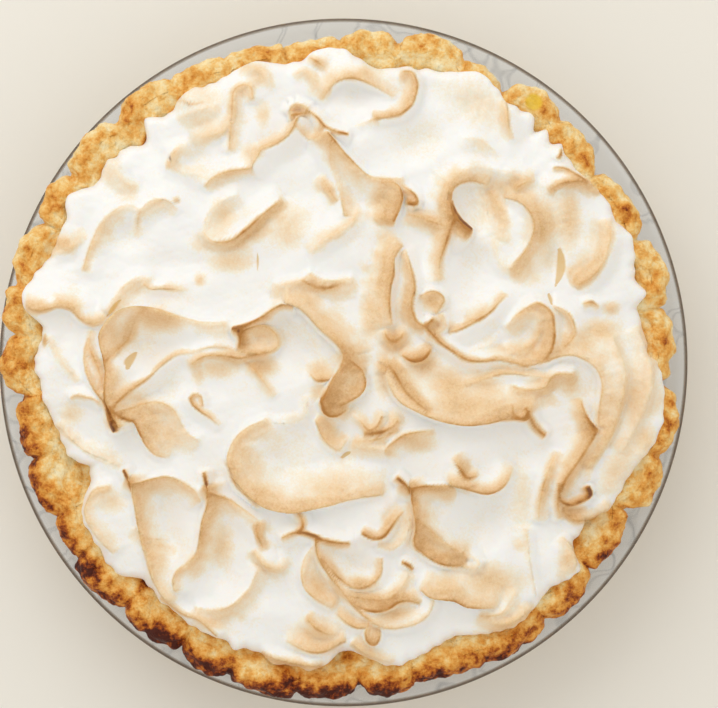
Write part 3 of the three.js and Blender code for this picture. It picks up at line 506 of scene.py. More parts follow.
def edge_surface():
    """A closed ring: each section runs from under the lobe, over it, and back beneath."""
    degrees = np.linspace(0, 360, EDGE_COLUMNS, endpoint=False)
    outer, lobe = crimped(degrees)
    inner = eased(MERINGUE_EDGE, degrees) - UNDER_MERINGUE
    way = np.linspace(0, 1, EDGE_ROWS, endpoint=False)[:, None]
    under = smooth_step(0, UNDER_END, way)
    round_way = np.clip((way - UNDER_END) / (ROUND_END - UNDER_END), 0, 1)
    turn = np.radians(ROUND_TURN[0] + (ROUND_TURN[1] - ROUND_TURN[0]) * round_way)
    inset_round = OUTER_ROUND * (1 - np.cos(turn))
    top = np.clip((way - ROUND_END) / (TOP_END - ROUND_END), 0, 1)
    inset = inset_round + (outer - inner - OUTER_ROUND) * top
    height = pastry_height(inset, lobe)
    full = pastry_height(np.full_like(outer, OUTER_ROUND), lobe)
    rising = full * (0.5 + 0.5 * np.sin(turn))
    height = np.where(way < ROUND_END, rising, height)
    back = np.clip((way - TOP_END) / (1 - TOP_END), 0, 1)
    height = height * (1 - smooth_step(0, 0.5, back)) + RING_ABOVE_RIM
    inset = inset - (inset - RETURN_INSET) * smooth_step(0.4, 1, back)
    inset = inset + FOOT_INSET * (1 - under) * (way < UNDER_END)
    radius = outer - inset
    turned_to = np.radians(degrees)
    points = np.stack([PIE_CENTRE[0] + radius * np.cos(turned_to),
                       PIE_CENTRE[1] + radius * np.sin(turned_to),
                       RIM_HEIGHT + height + 0 * radius], axis=-1)
    return points, np.broadcast_to(degrees, radius.shape), lobe + 0 * radius, inset, way + 0 * radius


def grid_normals(points):
    """Unit normals of a grid closed both ways, from the cross product of its two directions."""
    along = np.roll(points, -1, axis=1) - np.roll(points, 1, axis=1)
    across = np.roll(points, -1, axis=0) - np.roll(points, 1, axis=0)
    normal = np.cross(along, across)
    return normal / np.maximum(np.linalg.norm(normal, axis=-1, keepdims=True), 1e-9)


def degrees_away(degrees, middle):
    """Smallest turn between two directions, 0 to 180 degrees."""
    return np.abs((degrees - middle + 180) % 360 - 180)


# %% Blister and crease the edge
LUMPS = ((0.55, 9, 11), (0.30, 4.2, 12))
CRUMBLE_COUNT = 32
MEAN_RELIEF = 0.8
NOTCH_RADIUS = 112
CREASE_WIDTH = 1.1
CREASE_DEPTH = 0.6

edge_points, edge_degrees, edge_lobe, edge_inset, edge_way = edge_surface()
shown = smooth_step(0.04, 0.12, edge_way) * (1 - smooth_step(0.86, 0.92, edge_way))
lumps = layered_waves(edge_points, *LUMPS)
blister = 0.55 * blisters(edge_points, 3.1, 5) + 0.3 * blisters(edge_points, 1.5, 6)
crumble = 0.10 * waves(edge_points, 1.3, 13, CRUMBLE_COUNT)
relief = shown * (lumps + blister + crumble - MEAN_RELIEF)
notch_away = degrees_away(edge_degrees[..., None], np.array(CRIMPS)[:, 0]).min(axis=-1)
crease = np.exp(-(np.radians(notch_away) * NOTCH_RADIUS / CREASE_WIDTH) ** 2)
crease = crease * (1 - smooth_step(3, 12, edge_inset))
relief = relief - CREASE_DEPTH * shown * crease
edge_points = edge_points + grid_normals(edge_points) * relief[..., None]

# %% [markdown]
# ## Pastry edge: how far it is baked, and its painted shade
# The tops of the lobes and the outer side brown first. The outer side of the lower half,
# turned away from the light, is darker still, partly from browning and partly as painted
# shade. Spots beside the topping's edge are darker, partly syrup that seeped out and partly
# painted shade of the gap under the topping, and in one place a little lemon curd has run
# onto the pastry.

# %% How far each part of the edge is baked, and where shade is painted on it
BARE_BAKE = 0.19
LOBE_TOP_BAKE, LOBE_TOP_INSET, LOBE_TOP_REACH = 0.23, 5, 4
OUTER_SIDE_BAKE, OUTER_SIDE_REACH = 0.08, 4.5
BLISTER_BAKE, MEAN_BLISTER = 0.20, 0.35
# How much darker the creases between the lobes are.
CREASE_DARKENING = 0.07
# Sides that are darker: direction, half width in degrees, extra darkening. The first list is
# for the outer side of the edge alone, all in the lower half that is turned away from the
# light: partly browning and partly painted shade. The second is for all of it, darker mostly
# towards the bottom.
BROWNED_AND_SHADED_OUTER_SIDES = [(238, 75, 0.46), (188, 40, 0.20), (288, 60, 0.26), (322, 48, 0.20)]
DARKER_SIDES = [(150, 60, 0.04), (255, 100, 0.10)]

# Spots that are darker: middle, radius, strength. Most lie beside the topping's edge, partly
# syrup that seeped out and partly painted shade of the gap under the topping. The first is a
# pinched tip of dough and the second a flake.
SPOTS = [
    (-68, 75, 5, 0.45), (111, -13, 4, 0.3), (-103, 12, 3.5, 0.3), (-88, -36, 4, 0.5),
    (-68, -76, 4.5, 0.5), (-29, -100, 4, 0.45), (2, -101, 4, 0.45), (79, -61, 4, 0.3),
    (100, 30, 4, 0.2), (67, 79, 3.5, 0.3), (69, 86.5, 3.5, 0.3), (96, 51.5, 5, 0.3),
    (83, 68.5, 5, 0.35), (-62, -92, 8, 0.25), (-20, -107, 8, 0.25), (-85, -70, 7, 0.3),
    (112, -22, 6, 0.15),
]
LEMON_SPOT = (65, 89, 5)


def darkened_by_side(base, sides):
    """The base plus, for each side, its extra darkening times a cosine bell round its direction."""
    return sum((extra * bell(degrees_away(edge_degrees, middle) / half_width)
                for middle, half_width, extra in sides), base)


def spot_bell(points, middle_x, middle_y, spot_radius):
    """A cosine bell round one place of the pie, seen from above."""
    return bell(np.hypot(points[..., 0] - middle_x, points[..., 1] - middle_y) / spot_radius)


lobe_top = np.exp(-((edge_inset - LOBE_TOP_INSET) / LOBE_TOP_REACH) ** 2)
bake_and_shade = BARE_BAKE + LOBE_TOP_BAKE * edge_lobe * lobe_top
outer_side = np.exp(-(edge_inset / OUTER_SIDE_REACH) ** 2)
# Outer side in the lower half darker still: partly browning, partly painted shade of the side turned away
# from the light.
bake_and_shade = bake_and_shade + outer_side * darkened_by_side(OUTER_SIDE_BAKE, BROWNED_AND_SHADED_OUTER_SIDES)
# All of the edge, darker mostly towards the bottom.
bake_and_shade = darkened_by_side(bake_and_shade, DARKER_SIDES)
bake_and_shade = layered_waves(edge_points, (0.09, 11, 21), (0.07, 4, 22), base=bake_and_shade)
bake_and_shade = bake_and_shade + BLISTER_BAKE * (blister - MEAN_BLISTER) + CREASE_DARKENING * crease
# Spots beside the topping's edge: partly syrup, partly painted shade of the gap under it.
bake_and_shade = bake_and_shade + sum(strength * spot_bell(edge_points, *spot) for *spot, strength in SPOTS)
lemon = spot_bell(edge_points, *LEMON_SPOT)
edge_faces = closed_grid_faces(EDGE_ROWS + 1, EDGE_COLUMNS) % (EDGE_ROWS * EDGE_COLUMNS)
edge = make_piece("crimped_pastry_edge", edge_points.reshape(-1, 3), edge_faces.tolist(),
                  {"bake_and_shade": bake_and_shade, "lemon": lemon})
print(f"bake of the edge: {bake_and_shade.min():.2f} to {bake_and_shade.max():.2f}")

# %% [markdown]
# ## Pastry case below the rim
# Through the glass the baked side and bottom of the case show. They lie against the glass,
# so the surface reaches just into it and no air gap shines between them.

# %% Turn the case
INTO_GLASS = 0.15
CASE_BAKE = 0.34

case_bottom = GLASS_THICKNESS - INTO_GLASS
case_top = FILL_HEIGHT - 0.5
case_section = rounded_section([(0, case_bottom), (BASE_RADIUS - 2.5, case_bottom, FLOOR_ROUNDING),
                                (FLANGE_INNER_RADIUS + 0.1, FLANGE_TOP + 0.1, 1.0),
                                (FLANGE_INNER_RADIUS - 3, case_top, 0.5), (0, case_top)])
case_points, case_faces = turned(case_section)
case_bake = layered_waves(case_points, (0.08, 16, 31), (0.05, 5, 32), base=CASE_BAKE)
case = make_piece("baked_case_side", case_points, case_faces, {"bake_and_shade": case_bake})

# %% [markdown]
# ## Baked pastry finish
# Butter pastry bakes from pale straw through gold to dark brown. One number on the mesh says
# how far it has gone, with painted shade added in the lower half and beside the topping, and
# noise breaks it up into patches and freckles. Grain, knobs and small cells in the bump, one
# on another, give the short, crumbly surface.

# %% Pastry finish
PASTRY_SHADES = [(0.0, "FFF4CE"), (0.2, "FFE6AE"), (0.38, "FACE80"), (0.54, "F0B056"),
                 (0.68, "DE9236"), (0.79, "BE6A1C"), (0.9, "8A3A08"), (1.0, "4A1400")]
LEMON_CURD = "EFC433"
DULL_SHINE = 0.25

pastry = Finish("baked_pastry")
patches = pastry.noise(3.6, detail=5, roughness=0.6)
patches = pastry.spread(patches, (0.3, 0.7), (-0.15, 0.15))
freckles = pastry.noise(1.1, detail=4, roughness=0.7)
freckles = pastry.spread(freckles, (0.33, 0.67), (-0.08, 0.08))
# The number on the mesh carries the bake and the painted shade together.
bake_and_shade_level = pastry.total(pastry.attribute("bake_and_shade"), patches, freckles)
lemon_share = pastry.spread(pastry.attribute("lemon"), (0.15, 0.6), (0, 0.85))
pastry_colour = pastry.mix(lemon_share, pastry.ramp(bake_and_shade_level, PASTRY_SHADES), LEMON_CURD)
pastry.join(pastry_colour, pastry.shader.inputs["Base Color"])
sheen = pastry.spread(pastry.noise(3), (0.3, 0.7), (0.36, 0.6))
pastry.join(sheen, pastry.shader.inputs["Roughness"])
pastry.shader.inputs["Specular IOR Level"].default_value = DULL_SHINE
grain = pastry.noise(0.9, detail=6, roughness=0.65)
grain = pastry.bump(grain, distance_mm=0.5, strength=0.8)
knobs = pastry.bump(pastry.noise(3.6, detail=3), distance_mm=2.0, strength=0.6, below=grain)
crumbly = pastry.bump(pastry.cells(1.9), distance_mm=-0.6, strength=0.6, below=knobs)
pastry.join(crumbly, pastry.shader.inputs["Normal"])
edge.data.materials.append(pastry.material)
case.data.materials.append(pastry.material)

# %% [markdown]
# ## Meringue: what shapes it
# Beaten egg white is spread with the back of a spoon. Each scoop leaves a smooth hollow, and
# where the spoon lifts away it pulls up a ridge that is sharp at its crest, steep on the
# scoop's side and soft on the other. Sculpting brushes could copy that by hand. Here each
# ridge is one entry of a list: a crest drawn through a few places, how high it stands, how
# far its two slopes reach, and how the oven has toasted it. Three shorter lists follow: the
# hollows, the slopes that are toasted evenly, and the drops of syrup that have wept out.

# %% The ridges and hollows
# Each ridge: name, (rise at start, middle, end), (reach of the left, right slope), (heat at
# start, middle, end), (distance to the left, right where the heat has halved), darkness of its
# highest tip, and the places that its crest runs through. The darkness of a crest's line and
# tip is partly scorching and partly painted shadow under its overhang.
CUT, THIN, SOFT, WIDE = 0.5, 1.2, 2.5, 4.7
RIDGES = [
    ("west arch", (2, 4, 3), (5, 7), (0.5, 0.5, 0.2), (CUT, SOFT), 0,
     [(-88, 32), (-85.5, 40), (-82.5, 46), (-78.5, 50.5), (-75, 52.5), (-71.5, 53), (-68.5, 51.5)]),
    ("west arch, east half", (3, 3, 1), (4, 6), (0.4, 0.4, 0.3), (CUT, SOFT), 0,
     [(-68.5, 51.5), (-65.5, 54), (-61.5, 55), (-59, 54.5), (-56.5, 52)]),
    ("west arch seam", (2, 1.5, 0.5), (3, 3), (0.5, 0.4, 0.2), (THIN, THIN), 0,
     [(-68.5, 51), (-69.5, 48.5), (-70, 43.5)]),
    ("north-west slope", (1.5, 2.5, 1), (4, 4), (0.2, 0.25, 0.3), (THIN, WIDE), 0,
     [(-76.5, 67.5), (-76, 63.5), (-73.5, 60.5), (-71, 59.5)]),
    ("west edge fold", (1, 2.5, 1.5), (5, 4), (0.3, 0.5, 0.3), (WIDE, THIN), 0,
     [(-99, 37.5), (-93, 38.5), (-88, 42.5)]),
    ("small bowl, west wall", (2, 4, 3), (4, 6), (0.4, 0.6, 0.2), (THIN, SOFT), 0,
     [(-59.5, 66.5), (-58.5, 69), (-56.5, 72), (-53, 73.5)]),
    ("small bowl, south lip", (2, 1.5, 1), (4, 4), (0.5, 0.2, 0.2), (SOFT, THIN), 0,
     [(-59.5, 66.5), (-55.5, 65), (-50, 63.5), (-44.5, 62)]),
    ("north-west ridge", (2, 4, 4), (5, 3), (0.5, 0.6, 0.6), (CUT, SOFT), 0.1,
     [(-46.5, 60), (-44, 62.5), (-39, 64.5), (-31, 65.5)]),
    ("rise to the north peak", (4, 4.5, 7), (3, 6), (0.5, 0.8, 0.8), (SOFT, CUT), 0.1,
     [(-31, 66.5), (-29, 69.5), (-27.5, 72), (-23.5, 73.5), (-19.5, 76), (-17, 79), (-15.5, 82.5)]),
    ("north knob", (5, 6, 6), (3, 3), (0.6, 0.7, 0.4), (CUT, SOFT), 0,
     [(-18, 85), (-17, 87), (-14, 87), (-12, 86)]),
    ("north knob, dark crease", (5, 5, 4), (2.5, 2.5), (0.8, 1, 0.6), (THIN, THIN), 0.2,
     [(-17.5, 83.5), (-15, 84), (-12, 84.5)]),
    ("north peak, west arm", (5, 6, 5), (3, 3), (0.3, 0.6, 1), (CUT, CUT), 0.4,
     [(-12.5, 85.5), (-9, 83), (-6, 79.5), (-2.5, 78), (1.5, 77)]),
    ("fold under the north peak", (2, 3, 3), (3, 3), (0.3, 0.5, 0.6), (THIN, CUT), 0,
     [(-15, 80), (-13.5, 77.5), (-11, 75.5), (-8.5, 76.5), (-7, 79.5)]),
    ("north peak, long ridge", (8, 6, 4), (3, 7), (1, 0.6, 0.4), (CUT, 2.8), 0.3,
     [(-5, 77.5), (-1.5, 73), (1.5, 69.5), (5, 66), (8.5, 63), (13, 62), (19.5, 62)]),
    ("pale seam under the north peak", (4, 3, 1.5), (4, 4), (0.6, 0.3, 0.6), (SOFT, CUT), 0,
     [(-5.5, 76.5), (-5, 70), (-3, 63.5), (-1, 57.5), (0.5, 50)]),
    ("dab beside the pale seam", (1.5, 2.5, 1), (3, 3), (0.4, 0.8, 0.6), (THIN, SOFT), 0,
     [(-7, 62.5), (-5, 59), (-2.5, 55)]),
    ("north lobe", (3, 5.5, 4), (2, 7), (0.4, 0.8, 1.2), (CUT, WIDE), 0.3,
     [(12.5, 60.5), (16.5, 61), (19, 59.5), (20, 56), (19, 52), (17, 47.5)]),
    ("north lobe, small knob", (3, 5, 5), (2.5, 3), (0.4, 0.7, 1.6), (CUT, SOFT), 0.3,
     [(20, 59.5), (22.5, 58), (24.5, 56), (25, 53.5), (22, 53.5)]),
    ("roll beside the north lobe", (2, 4, 2), (3, 4), (0.5, 0.8, 0.7), (SOFT, SOFT), 0.2,
     [(22, 50), (26, 49), (30, 47.5), (34.5, 46)]),
    ("north hook", (4, 6, 2.5), (3, 4.5), (0.7, 0.9, 0.9), (CUT, SOFT), 0.2,
     [(20.5, 99), (23.5, 98.5), (25, 95), (24.5, 90.5), (23, 87), (19.5, 84), (15, 83), (11, 82.5)]),
    ("north hook, trail", (2.5, 1.5, 2), (3, 3), (0.5, 0.2, 0), (THIN, CUT), 0,
     [(11, 82.5), (6.5, 81), (1.5, 79)]),
    ("north arch", (2, 5.5, 2), (7, 2.5), (0.4, 0.8, 0.4), (SOFT, CUT), 0.1,
     [(-7, 89.5), (-5, 92), (-3, 94.5), (0.5, 96), (4, 96), (7.5, 95), (12, 93), (16.5, 90.5)]),
    ("north edge pinch", (2, 3, 1.5), (4, 3), (0.4, 0.8, 0.3), (THIN, THIN), 0.15,
     [(-11.5, 103.5), (-9, 102), (-6, 100)]),
    ("north fold", (1, 2.5, 1), (3, 3), (0.3, 0.5, 0.3), (THIN, SOFT), 0,
     [(-16.5, 97.5), (-13.5, 99), (-10, 97), (-8.5, 93.5), (-5, 92.5)]),
    ("north-west edge arc", (1.5, 2.5, 1), (3, 4), (0.3, 0.5, 0.2), (THIN, SOFT), 0,
     [(-34, 100.5), (-29.5, 100), (-26, 97.5), (-24, 93.5)]),
    ("tall wall", (1.5, 2.5, 2.5), (3.5, 3.5), (0.4, 0.6, 0.5), (THIN, SOFT), 0.1,
     [(-38.5, 72.5), (-38, 80.5), (-37.5, 87), (-37, 92), (-34.5, 94), (-31.5, 93.5), (-30.5, 89.5)]),
    ("fold left of the tall wall", (1, 3, 2.5), (4, 3), (0.3, 0.6, 0.4), (SOFT, SOFT), 0,
     [(-50.5, 76), (-46, 76.5), (-41.5, 78), (-38.5, 81.5)]),
    ("north-west ripple", (0.5, 2, 1), (4, 4), (0.2, 0.3, 0.3), (THIN, SOFT), 0,
     [(-56, 83), (-52, 84.5), (-47, 86), (-42.5, 86.5)]),
    ("north-west crease", (0.8, 1.2, 0.5), (3, 3), (0.3, 0.6, 0.3), (CUT, CUT), 0,
     [(-57.5, 89), (-54.5, 89), (-51.5, 87.5), (-47.5, 88.5)]),
    ("great hook, inner lip", (9, 5.5, 3), (8, 2.5), (2, 1, 0.6), (3.2, CUT), 0.3,
     [(43, 45), (40, 47.5), (37.5, 50.5), (36.5, 54.5), (37, 58.5), (39.5, 60.5), (43.5, 61.5),
      (48.5, 60.5)]),
    ("great hook, point", (9, 8.2, 6), (4, 2.5), (2.4, 2, 0.8), (SOFT, CUT), 0.9,
     [(43, 44.9), (41.4, 46.4), (39.7, 48), (38.2, 50.2), (37.2, 52.5), (36.7, 54.5)]),
    ("great hook, shoulder", (1.5, 3.5, 3), (5, 5), (0.3, 0.1, 0.3), (CUT, SOFT), 0,
     [(33.5, 53.5), (34.5, 59), (38, 63.5), (44, 66), (53, 65), (63, 62.5)]),
    ("great hook, tail", (6, 5, 1.5), (3, 5), (1.1, 0.8, 0.4), (THIN, SOFT), 0.3,
     [(38, 49), (36.7, 46.5), (35.5, 43), (34, 38.5), (32.5, 34), (32.5, 28.5)]),
    ("great hook, east wall", (2, 4, 2.5), (7, 3), (0.6, 0.9, 0.6), (WIDE, CUT), 0,
     [(55.5, 56), (59.5, 54.5), (63, 51), (64.5, 46.5), (63.5, 41.5), (60.5, 36.5), (57, 32)]),
    ("tongue in the great hook", (2, 1.8, 0.5), (3, 3), (0.2, 0.1, 0.2), (THIN, THIN), 0,
     [(57, 31.5), (54, 32.5), (52, 36.5), (51, 41.5)]),
    ("toasted lick in the great hook", (1, 1.5, 0.5), (3, 3), (0.5, 0.55, 0.3), (SOFT, SOFT), 0,
     [(50, 58), (52.5, 53.5), (54.5, 48.5), (54, 42)]),
    ("white streak in the great hook", (1, 1.6, 0.5), (3, 3), (0.2, 0.1, 0), (THIN, THIN), 0,
     [(46.5, 58.5), (48.5, 53.5), (49.5, 47.5), (51, 41.5)]),
    ("east notch", (3.5, 3.5, 2), (2.5, 2.5), (0.8, 0.7, 0.4), (SOFT, THIN), 0.1,
     [(58.5, 59), (61, 60.5), (64, 62)]),
    ("north-east fold", (2, 3.5, 1.5), (5, 3), (0.3, 0.6, 0.3), (CUT, SOFT), 0,
     [(55, 89), (55.5, 84.5), (56, 80.5), (57.5, 76.5)]),
    ("north-east ripple", (1, 1.5, 0.5), (3, 4), (0.1, 0.3, 0.1), (CUT, WIDE), 0,
     [(40.5, 76), (46.5, 75.5), (52.5, 70.5)]),
    ("east fold, upper crest", (2, 4, 3), (2.2, 5), (0.7, 0.9, 1.2), (CUT, THIN), 0.2,
     [(71.5, 66), (75, 66), (79, 64.5), (83, 62)]),
    ("east fold, lower crest", (2, 5.5, 2), (5, 3), (0.8, 1, 0.7), (THIN, SOFT), 0.1,
     [(70, 58.5), (73.5, 60.5), (77.5, 61), (82.5, 60.5), (87, 58.5)]),
    ("east edge curl", (2, 3, 3), (2, 2), (1, 1, 0.5), (CUT, CUT), 0.2,
     [(73, 69.5), (74, 71), (74, 72.5)]),
    ("east long curve", (1.5, 4.5, 2), (5, 4), (0.4, 0.6, 0.9), (THIN, WIDE), 0,
     [(90, 47.5), (90.5, 43), (89.5, 38.5), (88, 34), (84.5, 29.5), (80, 26.5)]),
    ("middle-east lip", (1.5, 4.5, 2), (2.5, 6), (0.7, 0.9, 0.5), (SOFT, CUT), 0.2,
     [(36.5, 10.5), (40, 11.5), (43.5, 13.5), (46.5, 15), (50, 17.5), (52.5, 20.5), (54.5, 22.5)]),
    ("rim of the east bowl", (0.8, 1, 0.6), (3, 3), (0.1, 0.2, 0.1), (CUT, WIDE), 0,
     [(52.5, 10.5), (50, 6.5), (44, 4)]),
    ("long ribbon, west half", (5, 4.5, 3.5), (4, 3.5), (1.2, 0.8, 0.9), (THIN, CUT), 0.2,
     [(27, 12.5), (30, 9.5), (33, 6.5), (37.5, 3.5), (40.5, 1.5), (44.5, 0.5), (53, 1), (57.5, 0),
      (62.5, -1)]),
    ("long ribbon, east half", (3.5, 4, 4), (9, 2.5), (0.8, 0.5, 0.5), (WIDE, CUT), 0.1,
     [(61, -1.5), (65, -0.5), (68.5, 0), (71.5, 1.5), (75, 2.5), (78, 2.5), (81.5, 1), (84.5, -1),
      (86.5, -4), (87.5, -8), (87, -12.5), (86.5, -16.5), (86, -20.5)]),
    ("east roll", (2, 6, 5), (3.5, 5), (0.3, 0.8, 0.9), (CUT, 3.6), 0.3,
     [(55.5, 12.5), (58.5, 16), (62, 18.5), (65.5, 20), (68.5, 18.5), (70.5, 16), (71, 11.5), (71, 7.5),
      (69.5, 3), (67, 0.5)]),
    ("east roll, inner rim", (3, 4, 3), (3, 4), (0.2, 0.5, 0.4), (THIN, THIN), 0,
     [(59, 15.5), (63, 17), (66, 15.5), (66.5, 12), (65, 8), (61, 4.5), (56, 3)]),
    ("east roll, outer loop", (3, 4, 2), (5, 2.5), (0.4, 0.6, 0.7), (CUT, SOFT), 0.1,
     [(71.5, 19), (74, 18), (76.5, 16), (78, 12.5), (78.5, 10), (77, 8), (74.5, 6.5)]),
    ("east edge knob", (2, 3, 2), (3, 3), (0.5, 0.8, 0.4), (CUT, THIN), 0.2,
     [(81.5, 20), (84, 20.5), (86.5, 19)]),
    ("outer ribbon", (2, 5, 3.5), (2.5, 7), (0.3, 0.6, 0.7), (SOFT, WIDE), 0.1,
     [(91.5, 8.5), (93, 4), (94.5, 0), (95.5, -4), (95, -8), (94.5, -12.5), (93.5, -16.5), (92, -21.5),
      (89.5, -26), (86.5, -31), (83.5, -35)]),
    ("edge ribbon", (1.5, 4, 1.5), (2.5, 5), (0.3, 0.4, 0.4), (WIDE, SOFT), 0,
     [(100.5, 11), (103.5, 4.5), (104.5, -3), (104, -10), (101.5, -16.5), (98, -23.5), (95, -29.5)]),
    ("spike", (3, 5, 7), (2, 3.5), (0.6, 0.9, 1.8), (CUT, SOFT), 0.6,
     [(80.5, -13), (81.5, -16.5), (83, -19.5), (85.5, -22.5)]),
    ("spike, tail", (7, 5, 3.5), (3.5, 4), (1.2, 0.8, 0.9), (CUT, SOFT), 0.2,
     [(85, -24), (83, -27.5), (80, -32), (77, -36), (74.5, -40.5), (73.5, -43.5)]),
    ("crescent, lower crest", (4, 9, 6), (13, 3.5), (0.4, 0.7, 1), (WIDE, CUT), 0.2,
     [(14.5, -3), (15.5, -7), (18.5, -12.5), (25, -16.5), (32.5, -19.5), (40.5, -21), (48.5, -20.5),
      (55.5, -19), (62, -19.5)]),
    ("crescent, west fold", (4, 3.5, 2), (3, 2), (0.9, 1.1, 0.8), (SOFT, THIN), 0.2,
     [(14.5, -3), (15, -1), (16.5, -2), (18.5, -4.5), (21.5, -8.5), (25, -11.5), (29.5, -14.5)]),
    ("crescent, upper edge", (1.5, 3, 2), (3, 4), (0.4, 0.6, 0.4), (SOFT, CUT), 0,
     [(39, -8.5), (45, -6.5), (50.5, -4.5), (55, -3.5), (60.5, -4), (65, -4.5), (70, -5)]),
    ("crescent, tongue", (2, 4.5, 4), (3, 2.5), (0.5, 0.7, 0.6), (CUT, WIDE), 0.1,
     [(57.5, -8), (61, -9), (65, -9), (68.5, -8), (69.5, -6), (71.5, -4), (77.5, -4)]),
    ("crescent, pale knob", (2, 3, 4), (4, 2.5), (0.6, 1.3, 1), (CUT, THIN), 0.3,
     [(57, -12.5), (57, -15.5), (59, -17), (61.5, -17.5), (63, -15.5)]),
    ("crescent, tip", (5, 5, 4), (3, 3), (1, 1.1, 1.3), (THIN, THIN), 0.15,
     [(61.5, -14.5), (63, -17.5), (64, -20.5), (65.5, -22.5), (68, -24.5)]),
    ("north crescent knob", (3, 4.5, 3), (3, 2.5), (0.4, 1.2, 0.4), (SOFT, THIN), 0.3,
     [(14, 10.5), (15, 8), (17, 7), (19.5, 8.5), (20.5, 10.5)]),
    ("south crescent knob", (3, 5.5, 3), (4, 2.2), (0.6, 1.6, 0.8), (SOFT, CUT), 0.4,
     [(20, 2.5), (22, 1), (25, 0.5), (28, 2), (29.5, 4.5)]),
    ("middle post", (4, 6, 4.5), (3, 6), (0.7, 1, 0.5), (CUT, WIDE), 0.2,
     [(19.5, 39), (17, 35), (17, 30), (16, 26), (15.5, 21), (16, 13.5)]),
    ("middle hook", (3, 5, 6), (3, 3), (0.5, 0.9, 1), (CUT, SOFT), 0.2,
     [(21, 37.5), (22.5, 33), (23.5, 29), (24, 24.5), (23, 20.5), (23.5, 16.5), (25, 13.5), (27.5, 12.5),
      (30, 14.5)]),
    ("middle hook, bulb", (2, 4.5, 3), (2.5, 5), (0.5, 0.7, 0.5), (CUT, SOFT), 0.1,
     [(26, 22.5), (30.5, 24), (34, 21.5), (31.5, 17)]),
    ("middle hook, tongue", (4, 3.5, 3.5), (2.5, 4), (0.4, 0.3, 0.2), (CUT, SOFT), 0,
     [(33.5, 16), (34.5, 12), (29, 8.5)]),
    ("middle bar", (3, 4.5, 3), (3, 5.5), (0.3, 0.5, 0.3), (CUT, WIDE), 0,
     [(-22.5, 26), (-17, 27), (-13.5, 28), (-11, 29.5), (-8, 28), (-3.5, 27.5), (2.5, 28)]),
    ("middle bar crease", (1.5, 2, 1), (1.6, 1.6), (0.4, 0.9, 0.2), (THIN, THIN), 0.3,
     [(-13.5, 27), (-11, 26), (-8.5, 25), (-4, 25), (0.5, 26.5)]),
    ("great arch", (8, 7, 6.5), (3, 4), (1.4, 0.9, 0.7), (CUT, THIN), 0.4,
     [(-37, 11.5), (-32, 13), (-27, 15.5), (-23.5, 18), (-20, 19.5), (-17, 19)]),
    ("great arch, east limb", (6.5, 7.5, 8), (7, 3), (0.6, 0.7, 1.3), (WIDE, CUT), 0.1,
     [(-19, 19.5), (-15, 18.5), (-11.5, 15.5), (-8.5, 12), (-4.5, 8.5), (-1.5, 5.5), (0, 2.5), (-1, -1.5),
      (-3.5, -5.5), (-5.5, -9.5), (-7.5, -13)]),
    # The dark underside of the arch's nose: partly toasting, partly painted shadow.
    ("arch nose, underside", (8, 6.5, 4), (2, 2), (2.2, 1.8, 1.2), (SOFT, CUT), 0.6,
     [(-35, 10.5), (-34.5, 8.5), (-35, 5.5)]),
    ("great arch, outer rope", (3, 4, 3), (3, 3), (0.3, 0.6, 1), (SOFT, THIN), 0,
     [(-3.5, 10.5), (0, 7.5), (2.5, 3.5), (2.5, 0), (1, -3)]),
    ("great arch, dark lobe", (3.5, 6, 4), (2.5, 8), (0.6, 0.9, 0.9), (CUT, WIDE), 0.2,
     [(2.5, 3.5), (5, 0), (7, -4), (7.5, -8), (5.5, -11), (2, -13), (-1, -15)]),
    ("great arch, foot", (6, 5.5, 3), (6, 2), (1.1, 1.4, 0.6), (WIDE, CUT), 0.3,
     [(-7.5, -12.5), (-7, -16), (-5, -18), (-2, -18), (1, -16)]),
    ("oval dollop", (6, 5, 5), (2.2, 5), (0.8, 0.6, 0.7), (THIN, SOFT), 0.2,
     [(-34.5, 10.5), (-31, 12), (-27.5, 12.5), (-24, 11), (-22, 8.5), (-22, 5.5), (-25, 3.5), (-30, 3),
      (-34.5, 3.5)]),
    ("oval dollop, west lip", (3, 4.5, 5), (6, 3), (0.6, 0.9, 0.8), (THIN, SOFT), 0.2,
     [(-51, -0.5), (-47, 2), (-43, 2.5), (-38.5, 2), (-34.5, 1.5), (-30.5, 2.5), (-26, 3.5)]),
    ("oval dollop, upper lip", (3, 3.5, 3), (4, 2), (0.3, 0.4, 0.5), (CUT, THIN), 0,
     [(-50.5, 3.5), (-46.5, 5), (-42, 5.5), (-38, 4.5), (-35, 3)]),
    ("streak under the oval", (1, 2.2, 1), (2.5, 2.5), (0.7, 0.6, 0.3), (THIN, THIN), 0,
     [(-33.5, 1), (-30, -2), (-27, -6), (-23.5, -11)]),
    ("nick in the arch bowl", (1.5, 3, 2), (4, 2), (0.4, 1, 0.3), (SOFT, CUT), 0.2,
     [(-11, -4), (-9, -6), (-6, -6), (-2.5, -5)]),
    ("rubble, west", (2, 4, 4.5), (3, 2.5), (0.2, 0.7, 0.4), (SOFT, THIN), 0.4,
     [(3, -17.5), (6.5, -20.5), (8.5, -23), (11.5, -21.5), (13, -18)]),
    ("rubble, middle", (3.5, 4, 3), (2.5, 2.5), (1.2, 0.9, 0.5), (THIN, THIN), 0.4,
     [(7.5, -24), (12.5, -23.5), (16, -22), (18.5, -19.5)]),
    ("rubble, south", (2, 3.5, 2), (2.5, 3), (0.4, 0.7, 0.6), (THIN, THIN), 0.1,
     [(4.5, -26.5), (10.5, -26), (15, -24.5), (18, -22.5)]),
    ("south-east shelf", (4, 5.5, 2), (2.5, 5), (0.7, 0.7, 0.4), (CUT, SOFT), 0.2,
     [(14, -29.5), (16.5, -27), (20, -24.5), (23.5, -23.5), (30, -23)]),
    ("south-east shelf, west end", (2, 3.5, 4), (3, 4), (0.4, 0.4, 0.3), (SOFT, SOFT), 0,
